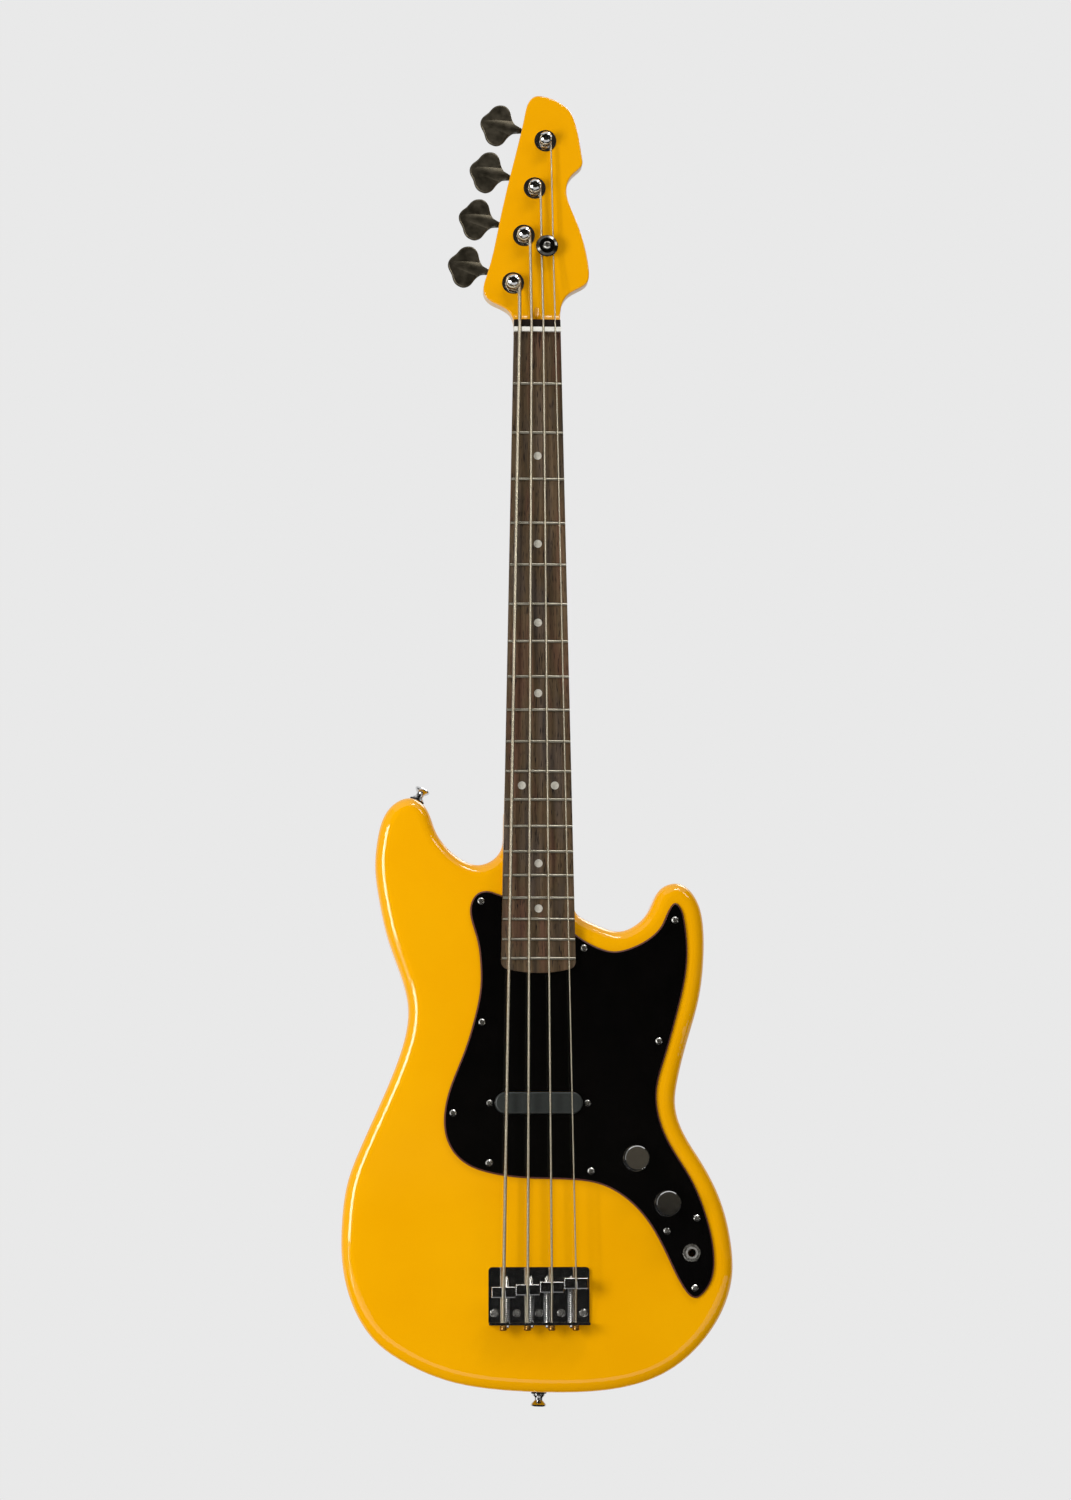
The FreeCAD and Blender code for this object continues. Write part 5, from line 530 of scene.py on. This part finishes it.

# %% [markdown]
# ## Plated metal
# Bridge, tuners and knobs are polished chrome, screws and jack have a duller one and the keys a dark nickel.
# The string tree is chrome too, with its colour darkened as a painted dark reflection. A picture of a room
# could be painted on them, but it would turn with them. Plating shows what is really around it, softened by
# faint polishing marks, so roughness carries the detail.

# %% Chrome, nickel and steel
PLATINGS = {
    # name: dull and bright colour, least and most roughness, size of the marks in mm; what the eye sees
    "polished chrome": ("CBCBCC", "DADADA", 0.06, 0.1, 6.0),  # a mirror, hardly blurred
    "dark nickel": ("433E33", "575145", 0.34, 0.46, 6.0),  # brown-black with a broad, soft sheen
    # the string tree's chrome, darkened in colour: a painted dark reflection
    "chrome darkened as painted reflection": ("4A4946", "62615D", 0.1, 0.2, 3.0),  # a smoky mirror
    "brushed chrome": ("C2C0BA", "DAD8D2", 0.16, 0.26, 2.0),  # bright, with blurred reflections
    "satin chrome": ("C2C0BA", "DAD8D2", 0.32, 0.42, 1.2),  # pale, without any clear reflection
    "plain steel": ("8A8A8C", "A2A2A4", 0.25, 0.42, 2.0),  # mid grey and a little uneven
    "nickel silver": ("96907F", "A9A394", 0.27, 0.33, 5.0),  # warm grey, evenly polished
    "cast magnet alloy": ("55534F", "6A6864", 0.4, 0.6, 1.5),  # dull dark grey with a sandy skin
}
metal = {}
for name, (dull, bright, least, most, marks_mm) in PLATINGS.items():
    tree, close = finish_named(name)
    place = add(tree, "ShaderNodeTexCoord").outputs["Object"]
    mark = add(tree, "ShaderNodeTexNoise", {"Vector": place, "Scale": per_mm(marks_mm), "Detail": 4.0})
    tone = add(tree, "ShaderNodeValToRGB", {"Fac": mark.outputs["Fac"]}, ((0.3, dull), (0.7, bright)))
    rough = add(tree, "ShaderNodeMapRange", {
        "Value": mark.outputs["Fac"],
        "From Min": 0.3,
        "From Max": 0.7,
        "To Min": least,
        "To Max": most,
    })
    metal[name] = close({
        "Base Color": tone.outputs["Color"],
        "Metallic": 1.0,
        "Roughness": rough.outputs["Result"],
    })

# %% [markdown]
# ## Wound wire
# A bass string is a steel core wound with nickel-plated wire. The eye sees a warm grey metal with fine
# ridges across it. A modelled winding would need hundreds of thousands of faces, so the ridges are in the
# surface, along the length that each point of the wire keeps. The colour is painted darker in the grooves
# and lighter on the crests, as painted shade and a painted highlight. The real winding is about 0.4 mm
# wide, too fine for the picture, so it is drawn 1 mm wide.

# %% Wound wire
WINDING_MM = 1.0
tree, close = finish_named("nickel-plated round-wound wire")
along = add(tree, "ShaderNodeAttribute", attribute_name="wire_length")
turns = add(tree, "ShaderNodeMath", {
    0: along.outputs["Fac"],
    1: 2 * math.pi * per_mm(WINDING_MM),
}, operation="MULTIPLY")
ridge = add(tree, "ShaderNodeMath", {0: turns.outputs["Value"]}, operation="SINE")
# The colour follows the ridges: painted shade in the grooves between the turns, a painted highlight on their
# crests.
shade = add(tree, "ShaderNodeMapRange", {"Value": ridge.outputs["Value"], "From Min": -1.0})
tone = add(tree, "ShaderNodeValToRGB", {"Fac": shade.outputs["Result"]}, ((0.0, "8A826E"), (1.0, "D0C6B0")))
wound = add(tree, "ShaderNodeBump", {"Height": ridge.outputs["Value"], "Strength": 0.5, "Distance": 0.2 * MM})
string_wire = close({
    "Base Color": tone.outputs["Color"],
    "Metallic": 1.0,
    "Roughness": 0.32,
    "Normal": wound.outputs["Normal"],
})

# %% [markdown]
# ## Plastics and small finishes
# Pickup cover, dots and nut are plastic, and there are felt, insulation, resin and copper wire as well.
# Flat colours would look like a toy. All these surfaces have a grain from the mould, the fibre or the
# winding, so one recipe with a noise for colour and depth serves them all, each at its own real size.

# %% Plastics, felt and winding
MOULDED = {
    # name: darker and lighter colour, roughness, grain size in mm, depth of the grain; what the eye sees
    "grey moulded ABS": ("1D201E", "272B28", 0.42, 0.6, 0.12),  # dark grey with a fine, dull grain
    "black moulded ABS": ("101011", "191919", 0.5, 0.8, 0.1),  # near black and dull
    "off-white acrylic": ("B4AFA3", "CFCABD", 0.3, 1.8, 0.03),  # pale and cloudy, polished flush
    "white synthetic bone": ("D9D6CC", "ECEAE2", 0.35, 1.2, 0.05),  # warm white with a low gloss
    "black wool felt": ("0D0D0D", "2A2A2A", 0.95, 0.5, 0.6),  # matt, with loose fibres
    "black lead insulation": ("111111", "1D1D1D", 0.5, 2.0, 0.05),  # smooth soft plastic
    "dipped capacitor resin": ("6E3310", "8A451A", 0.25, 2.5, 0.05),  # glossy red-brown, uneven from the dip
    "enamelled copper winding": ("5A2A12", "8E4A22", 0.35, 0.4, 0.3),  # brown copper, lined by its turns
}
moulded = {}
for name, (deep, pale, rough, grain_mm, depth) in MOULDED.items():
    tree, close = finish_named(name)
    place = add(tree, "ShaderNodeTexCoord").outputs["Object"]
    grain = add(tree, "ShaderNodeTexNoise", {"Vector": place, "Scale": per_mm(grain_mm), "Detail": 3.0})
    tone = add(tree, "ShaderNodeValToRGB", {"Fac": grain.outputs["Fac"]}, ((0.3, deep), (0.7, pale)))
    pebble = add(tree, "ShaderNodeBump", {
        "Height": grain.outputs["Fac"],
        "Strength": depth,
        "Distance": 0.3 * MM,
    })
    moulded[name] = close({
        "Base Color": tone.outputs["Color"],
        "Roughness": rough,
        "Normal": pebble.outputs["Normal"],
    })

# %% [markdown]
# ## Finishes on the CAD nodes
# Each CAD node keeps its solid shape and takes one of the finishes above. Everything that isn't named is
# polished chrome, as most of the small hardware is. A list of every node would be longer and say no more.

# %% Dress the nodes
DRESS = {
    "body": lacquer,
    "neck": maple,
    "fingerboard": rosewood,
    "frets": metal["nickel silver"],
    "fret_markers": moulded["off-white acrylic"],
    "nut": moulded["white synthetic bone"],
    "truss_rod": metal["plain steel"],
    "truss_rod_nut": metal["plain steel"],
    "pickguard": laminate,
    "pickup_cover": moulded["grey moulded ABS"],
    "pickup_bobbin": moulded["black moulded ABS"],
    "pickup_coil": moulded["enamelled copper winding"],
    "pickup_magnets": metal["cast magnet alloy"],
    "capacitor": moulded["dipped capacitor resin"],
    "pot_housings": metal["plain steel"],
    "volume_pot_shaft": metal["plain steel"],
    "tone_pot_shaft": metal["plain steel"],
    **{name: metal["brushed chrome"] for name in nodes if "screw" in name or name == "jack_nut"},
    "jack_socket": metal["satin chrome"],
    **{f"tuner_key_{number}": metal["dark nickel"] for number in (1, 2, 3, 4)},
    # the string tree is chrome whose colour is darkened as a painted dark reflection
    "string_tree": metal["chrome darkened as painted reflection"],
}
for name, node in nodes.items():
    node.data.materials.clear()
    node.data.materials.append(DRESS.get(name, metal["polished chrome"]))
print("named finishes", len(DRESS), "of", len(nodes), "nodes")

# %% [markdown]
# ## Face of the headstock
# Neck and headstock are one piece of maple, and a sprayer masks all but the face. In the same way each
# facet takes the paint if it looks to the front and lies above the nut. A second object for the paint would
# be a shell that the real neck doesn't have.

# %% Paint the face of the headstock
HEAD_PAINT_START = 10.6
FRONT_LIMIT = -0.3
neck_mesh = nodes["neck"].data
neck_mesh.materials.append(headstock_lacquer)
painted = [
    facet.normal.y < FRONT_LIMIT and facet.center.z > HEAD_PAINT_START * MM for facet in neck_mesh.polygons
]
neck_mesh.polygons.foreach_set("material_index", [int(face) for face in painted])
print("painted facets", sum(painted), "of", len(painted))

# %% [markdown]
# ## Lines for wire
# Strings and leads are round wire on a line. The line could be a row of straight runs with rounded corners.
# A NURBS spline is simpler: it bends smoothly where its control points turn a corner, and Blender reads the
# points off it.

# %% Smooth lines
LINE_STEPS = 6


def smooth_line(points):
    """Points read along a NURBS spline that has these control points."""
    curve = bpy.data.curves.new("route", "CURVE")
    curve.dimensions = "3D"
    spline = curve.splines.new("NURBS")
    spline.points.add(len(points) - 1)
    for control, point in zip(spline.points, points):
        control.co = (*point, 1.0)
    spline.order_u = 3
    spline.use_endpoint_u = True
    spline.resolution_u = LINE_STEPS
    route = bpy.data.objects.new("route", curve)
    drawn = bpy.data.meshes.new_from_object(route)
    line = [vertex.co.copy() for vertex in drawn.vertices]
    bpy.data.objects.remove(route)
    bpy.data.curves.remove(curve)
    bpy.data.meshes.remove(drawn)
    return line


corner_line = smooth_line([Vector((0, 0, 0)), Vector((1, 0, 0)), Vector((1, 1, 0))])
print("a corner of three control points gives", len(corner_line), "points")

# %% [markdown]
# ## Routes of the strings
# Each string starts behind the bridge wall, goes over its saddle and through its nut slot, and winds round
# its post. Two of them pass under the round tree. The corners repeat the CAD route, so that a string lies
# in its slot, and the turns on the post are a plain spiral. A string that is laid straight from bridge to
# post would be simpler, but it would float above saddle and nut.

# %% Measures of the strings
# Sizes are in millimetres. A saddle sits back a little, more for a thick string, to keep it in tune.
SCALE = 762.0
NUT_SPACING, BRIDGE_SPACING = 9.6, 19.0
PLACES = (-1.5, -0.5, 0.5, 1.5)
DIAMETERS = {"e": 2.65, "a": 2.15, "d": 1.65, "g": 1.15}
SETBACKS = {"e": 3.6, "a": 1.7, "d": -0.3, "g": -3.2}

# Where a string bends: hole in the bridge wall, crest of the saddle, nut slot and rim of the tree.
WALL_BACK, BEND_Z, HOLE_Y = -795.4, -790.4, -7.6
CREST_Y, CREST_BACK, NUT_Y, NUT_Z = -11.4, 2.6, -7.7, 5.1
TREE_X, TREE_Y, TREE_Z, TREE_RADIUS = 8.2, -2.8, 72.1, 9.0

# The posts stand in a row that is tilted with the headstock, and each holds a few turns.
FIRST_POST, POST_PITCH, TILT = Vector((-19.2, 0.0, 42.5)), 40.75, math.radians(12.57)
TURNS = {"e": 1.0, "a": 1.0, "d": 1.5, "g": 2.25}
SPOOL, SPOOL_GAP, WRAP_GAP, WRAP_START = 3.5, 0.3, 0.55, 0.1


def post_place(number):
    """Middle of a post at the face of the headstock, in millimetres."""
    return FIRST_POST + Vector((math.sin(TILT), 0, math.cos(TILT))) * (POST_PITCH * number)


print("posts", [tuple(round(v, 1) for v in post_place(number)) for number in range(len(PLACES))])

# %% [markdown]
# ## Corners of a string
# A taut string is straight between its bends, while a spline swings wide of a lone control point. Straight
# runs with arcs between them would also do. Here each bend has a control point close by on both sides, so
# the spline stays tight there and straight elsewhere.

# %% Control points of a string
BEND_REACH = 2.5
TURN_POINTS = 16


def held(corners):
    """Corners of a taut string, with a point close by on both sides of each bend."""
    points = [corners[0]]
    for before, corner, after in zip(corners, corners[1:], corners[2:]):
        points += [
            corner + (before - corner).normalized() * BEND_REACH,
            corner,
            corner + (after - corner).normalized() * BEND_REACH,
        ]
    return points + [corners[-1]]


def string_points(number, name):
    """Control points of one string from its ball end to its last turn, in millimetres."""
    radius = DIAMETERS[name] / 2
    bridge_x, nut_x = PLACES[number] * BRIDGE_SPACING, PLACES[number] * NUT_SPACING
    post = post_place(number)
    winding = SPOOL + SPOOL_GAP + radius
    corners = [
        Vector((bridge_x, HOLE_Y, WALL_BACK)),
        Vector((bridge_x, HOLE_Y, BEND_Z)),
        Vector((bridge_x, CREST_Y - radius, -SCALE - SETBACKS[name] - CREST_BACK)),
        Vector((nut_x, NUT_Y - radius, NUT_Z)),
    ]
    rim_z = TREE_Z - TREE_RADIUS
    share = (rim_z - NUT_Z) / (post.z - NUT_Z)
    tree_x = nut_x + (post.x + winding - nut_x) * share
    if post.z > TREE_Z and abs(tree_x - TREE_X) < TREE_RADIUS:
        corners.append(Vector((tree_x, TREE_Y + radius, rim_z)))
    last = corners[-1]
    level = WRAP_START - radius
    far_x, far_z = post.x - last.x, post.z - last.z
    far = math.hypot(far_x, far_z)
    heading = math.atan2(far_z, far_x) - math.asin(winding / far)
    run = math.sqrt(far ** 2 - winding ** 2)
    corners.append(Vector((last.x + run * math.cos(heading), level, last.z + run * math.sin(heading))))
    points = held(corners)
    rise = DIAMETERS[name] + WRAP_GAP
    for step in range(1, round(TURNS[name] * TURN_POINTS) + 1):
        turned = step / TURN_POINTS
        angle = heading - math.pi / 2 + 2 * math.pi * turned
        points.append(Vector((
            post.x + winding * math.cos(angle),
            level - rise * turned,
            post.z + winding * math.sin(angle),
        )))
    return points


print("control points", {name: len(string_points(number, name)) for number, name in enumerate("eadg")})

# %% [markdown]
# ## Strings
# Each string is one round wire from its hole in the bridge wall to its last turn. It takes the place of the
# CAD string, which has the same run in straight lengths. A curve with a bevel would make a tube at once,
# but it doesn't keep the length along the wire, which the winding's ridges need. So a ring of points is
# carried along the line and turned as little as possible, which keeps the tube from twisting. Both ends are
# closed.

# %% Lay the strings
STRING_SIDES = 14


def tube(name, line, radius, sides, finish):
    """A closed round tube through the points of a line."""
    befores, afters = [line[0]] + line[:-1], line[1:] + [line[-1]]
    ways = [(after - before).normalized() for before, after in zip(befores, afters)]
    side = ways[0].orthogonal().normalized()
    points, faces, lengths = [], [], []
    gone = 0.0
    for at, (point, way) in enumerate(zip(line, ways)):
        if at:
            side = ways[at - 1].rotation_difference(way) @ side
            gone += (point - line[at - 1]).length
        other = way.cross(side)
        for step in range(sides):
            angle = 2 * math.pi * step / sides
            points.append(point + (side * math.cos(angle) + other * math.sin(angle)) * radius)
            lengths.append(gone)
    for ring in range(len(line) - 1):
        low, high = ring * sides, (ring + 1) * sides
        for step in range(sides):
            following = (step + 1) % sides
            faces.append((low + step, low + following, high + following, high + step))
    faces.append(tuple(reversed(range(sides))))
    faces.append(tuple(range((len(line) - 1) * sides, len(line) * sides)))
    piece = new_piece(name, points, faces, finish)
    piece.data.polygons.foreach_set("use_smooth", [len(face) == 4 for face in faces])
    piece.data.attributes.new("wire_length", "FLOAT", "POINT").data.foreach_set("value", lengths)
    return piece


for number, name in enumerate("eadg"):
    line = smooth_line([point * MM for point in string_points(number, name)])
    piece = tube(f"string_{name}_wire", line, DIAMETERS[name] / 2 * MM, STRING_SIDES, string_wire)
    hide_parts(f"string_{name}")
    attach(piece, "instrument")
    print("string", name, "has", len(line), "rings")

# %% [markdown]
# ## Ball ends
# A small grooved brass ball at the end of each string holds it behind the bridge wall. It is turned on a
# lathe, so it is a profile that is swept round an axis. A screw modifier could sweep it too, but a short
# loop leaves a plain mesh with nothing to apply.

# %% Turned pieces and brass


def turned_piece(name, profile, steps, finish):
    """A ring turned about Z from the (radius, height) corners of its section, in millimetres."""
    points, faces = [], []
    count = len(profile)
    for step in range(steps):
        angle = 2 * math.pi * step / steps
        points += [(r * math.cos(angle) * MM, r * math.sin(angle) * MM, h * MM) for r, h in profile]
    for step in range(steps):
        here, there = step * count, (step + 1) % steps * count
        for corner in range(count):
            following = (corner + 1) % count
            faces.append((here + corner, there + corner, there + following, here + following))
    piece = new_piece(name, points, faces, finish)
    piece.data.polygons.foreach_set("use_smooth", [True] * len(faces))
    return piece


# Brass straight from the lathe: a dull gold with fine marks.
BRASS_MARKS_MM = 1.0
tree, close = finish_named("turned brass")
place = add(tree, "ShaderNodeTexCoord").outputs["Object"]
mark = add(tree, "ShaderNodeTexNoise", {"Vector": place, "Scale": per_mm(BRASS_MARKS_MM), "Detail": 3.0})
tone = add(tree, "ShaderNodeValToRGB", {"Fac": mark.outputs["Fac"]}, ((0.3, "7A5526"), (0.7, "A8803F")))
brass = close({
    "Base Color": tone.outputs["Color"],
    "Metallic": 1.0,
    "Roughness": 0.28,
})

# %% [markdown]
# ## Profile of a ball end
# The section has a chamfer at both rims, a groove round the middle and a shallow dish at the hole. A plain
# cylinder would do from afar, but the groove is what the loop of the string lies in. The corners are worked
# out from a few sizes, so all four balls share them.

# %% Turn the ball ends
BALL_RADIUS, BALL_LENGTH, BALL_GROOVE, BALL_CHAMFER, BALL_DISH = 2.8, 4.2, 0.5, 0.6, 0.3
BALL_HOLE_SHARE = 0.6
BALL_STEPS = 28
sixth = BALL_LENGTH / 6
for number, name in enumerate("eadg"):
    hole = DIAMETERS[name] / 2 * BALL_HOLE_SHARE
    profile = (
        (hole, -BALL_DISH),
        (BALL_RADIUS - BALL_CHAMFER, 0.0),
        (BALL_RADIUS, -sixth),
        (BALL_RADIUS, -2 * sixth),
        (BALL_RADIUS - BALL_GROOVE, -3 * sixth),
        (BALL_RADIUS, -4 * sixth),
        (BALL_RADIUS, -5 * sixth),
        (BALL_RADIUS - BALL_CHAMFER, -BALL_LENGTH),
        (hole, BALL_DISH - BALL_LENGTH),
    )
    ball = turned_piece(f"string_{name}_ball", profile, BALL_STEPS, brass)
    ball.data.transform(Matrix.Translation(Vector((PLACES[number] * BRIDGE_SPACING, HOLE_Y, WALL_BACK)) * MM))
    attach(ball, "instrument")
print("ball ends", len(DIAMETERS))

# %% [markdown]
# ## Springs at the bridge
# A small compression spring sits on each intonation screw, between the wall and the saddle. A spring must
# follow both ends. It could be made anew for each pose. Here each spring is wound once, at the length it has
# here, and keeps its place in the frame.

# %% Wind the intonation springs
SPRING_WIRE, SPRING_SIDES = 0.7, 8
SPRING_RADIUS = SPRING_WIRE / 2 * MM
WIND_STEPS = 20
WALL_FRONT, SADDLE_DEPTH = -793.4, 8.4
INTONATION_OFFSET, INTONATION_Y = 3.2, -3.0
INTONATION_OUTSIDE, INTONATION_PITCH = 4.9, 1.35


def spring_path(length, outside, pitch):
    """Points of a helix along Z that fills this length."""
    radius = (outside - SPRING_WIRE) / 2
    turns = math.floor((length - SPRING_WIRE) / pitch)
    path = []
    for step in range(turns * WIND_STEPS + 1):
        turned = step / WIND_STEPS
        angle = 2 * math.pi * turned
        height = SPRING_WIRE / 2 + (length - SPRING_WIRE) * turned / turns
        path.append(Vector((radius * math.cos(angle), radius * math.sin(angle), height)))
    return path


for number, name in enumerate("eadg"):
    side = 1 if PLACES[number] < 0 else -1
    x = PLACES[number] * BRIDGE_SPACING + side * INTONATION_OFFSET
    back = -SCALE - SETBACKS[name] - SADDLE_DEPTH
    start, end = Vector((x, INTONATION_Y, WALL_FRONT)), Vector((x, INTONATION_Y, back))
    coil = spring_path(back - WALL_FRONT, INTONATION_OUTSIDE, INTONATION_PITCH)
    path = [(start + point) * MM for point in coil]
    piece = tube(f"intonation_spring_{number + 1}", path, SPRING_RADIUS, SPRING_SIDES, metal["plain steel"])
    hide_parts("intonation_springs")
    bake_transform(piece)
    print("spring", number + 1, "is", round(back - WALL_FRONT, 1), "mm long")

# %% [markdown]
# ## Springs under the pickup
# Two more springs press the pickup away from the pickguard, round its height screws. A row of plain rings
# would do for a hidden spring. They are wound in the same way as those at the bridge and then turned so
# that they point to the back.

# %% Wind the pickup springs
PICKUP_Z, PICKUP_SCREW_X, GUARD_BACK, EAR_FRONT = -621.8, 38.8, 3.0, 12.5
PICKUP_OUTSIDE, PICKUP_PITCH = 5.2, 1.9
to_back = Matrix.Rotation(math.radians(-90), 4, "X")
for number, side in ((1, -1), (2, 1)):
    start = Vector((side * PICKUP_SCREW_X, GUARD_BACK, PICKUP_Z))
    end = Vector((side * PICKUP_SCREW_X, EAR_FRONT, PICKUP_Z))
    coil = spring_path(EAR_FRONT - GUARD_BACK, PICKUP_OUTSIDE, PICKUP_PITCH)
    path = [(start + (to_back @ point)) * MM for point in coil]
    piece = tube(f"pickup_spring_{number}", path, SPRING_RADIUS, SPRING_SIDES, metal["plain steel"])
    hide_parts("pickup_springs")
    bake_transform(piece)
print("pickup springs", round(EAR_FRONT - GUARD_BACK, 1), "mm long")

# %% [markdown]
# ## Leads
# Under the pickguard, thin insulated leads run from the pickup to the controls and on to the jack. They are
# short pieces held at both ends, laid in the routed channels, so a cloth-like simulation would change
# nothing. Their points are given one by one, as in the CAD, and the spline bends the wire at each of them.
# One end of the pickup's lead rises and sinks with the pickup; that lead is not attached to the instrument.

# %% Run the leads
CONTROLS = {"volume": (76.8, -665.4), "tone": (101.5, -700.9), "jack": (120.5, -739.5)}
LEAD_RADIUS, LEAD_SIDES = 0.75, 10
LUG, BELOW, LUG_Y, FLOOR_Y, DEEP_Y = 4.8, 12.9, 6.8, 16.7, 18.95
PICKUP_EXIT_X, PICKUP_EXIT_Y, PICKUP_EXIT_Z, CHANNEL_X = 28.8, 14.9, -626.8, 43.8
JACK_LUG, JACK_RUN = 5.05, 8.05
(volume_x, volume_z), (tone_x, tone_z), (jack_x, jack_z) = CONTROLS.values()
ROUTES = {
    "pickup_lead": [
        (PICKUP_EXIT_X, PICKUP_EXIT_Y, PICKUP_EXIT_Z), (PICKUP_EXIT_X, DEEP_Y, PICKUP_EXIT_Z),
        (CHANNEL_X, DEEP_Y, PICKUP_EXIT_Z), (volume_x, DEEP_Y, volume_z),
        (volume_x - LUG, DEEP_Y, volume_z - BELOW), (volume_x - LUG, LUG_Y, volume_z - BELOW),
    ],
    "tone_lead": [
        (volume_x + LUG, LUG_Y, volume_z - BELOW), (volume_x + LUG, FLOOR_Y, volume_z - BELOW),
        (volume_x, FLOOR_Y, volume_z), (tone_x, FLOOR_Y, tone_z), (tone_x - LUG, FLOOR_Y, tone_z - BELOW),
        (tone_x - LUG, LUG_Y, tone_z - BELOW),
    ],
    "jack_lead": [
        (tone_x + LUG, LUG_Y, tone_z - BELOW), (tone_x + LUG, DEEP_Y, tone_z - BELOW),
        (tone_x, DEEP_Y, tone_z), (jack_x + JACK_RUN, DEEP_Y, jack_z), (jack_x + JACK_LUG, DEEP_Y, jack_z),
    ],
}
for name, route in ROUTES.items():
    line = smooth_line([Vector(point) * MM for point in route])
    piece = tube(name, line, LEAD_RADIUS * MM, LEAD_SIDES, moulded["black lead insulation"])
    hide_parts("wiring")
    if name == "pickup_lead":
        Vector(route[1]) * MM
        Vector(route[3]) * MM
        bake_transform(piece)
    else:
        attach(piece, "instrument")
    length = sum((after - before).length for before, after in zip(line, line[1:]))
    print(name, "is", round(length / MM), "mm long")

# %% [markdown]
# ## Felts
# A felt washer sits under each strap button. Its edge is a little crowned, because the button squeezes it.
# It could be draped by simulation, but a washer that is held flat has only this one soft edge, and a turned
# profile gives it.

# %% Cut the felts
FELT_OUTER, FELT_INNER, FELT_THICK = 6.0, 1.9, 1.4
FELT_INSET, FELT_ROUND, FELT_CROWN = 0.05, 0.4, 0.05
FELT_STEPS = 40
FELT_SEATS = {
    # name: middle of the seat and the direction away from the body, in the frame
    "strap_felt_upper": ((-96.3, 24.5, -379.4), (0.4384, 0.0, 0.8988)),
    "strap_felt_end": ((1.0, 24.5, -848.2), (0.0, 0.0, -1.0)),
}
felt_profile = (
    (FELT_INNER, FELT_INSET),
    (FELT_OUTER - FELT_ROUND, FELT_INSET),
    (FELT_OUTER, FELT_THICK / 4),
    (FELT_OUTER + FELT_CROWN, FELT_THICK / 2),
    (FELT_OUTER, FELT_THICK * 3 / 4),
    (FELT_OUTER - FELT_ROUND, FELT_THICK - FELT_INSET),
    (FELT_INNER, FELT_THICK - FELT_INSET),
)
for name, (seat, away) in FELT_SEATS.items():
    piece = turned_piece(name, felt_profile, FELT_STEPS, moulded["black wool felt"])
    turn = Vector((0, 0, 1)).rotation_difference(Vector(away).normalized()).to_matrix().to_4x4()
    piece.data.transform(Matrix.Translation(Vector(seat) * MM) @ turn)
    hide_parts("strap_button_felts")
    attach(piece, "instrument")
print("felts", len(FELT_SEATS))
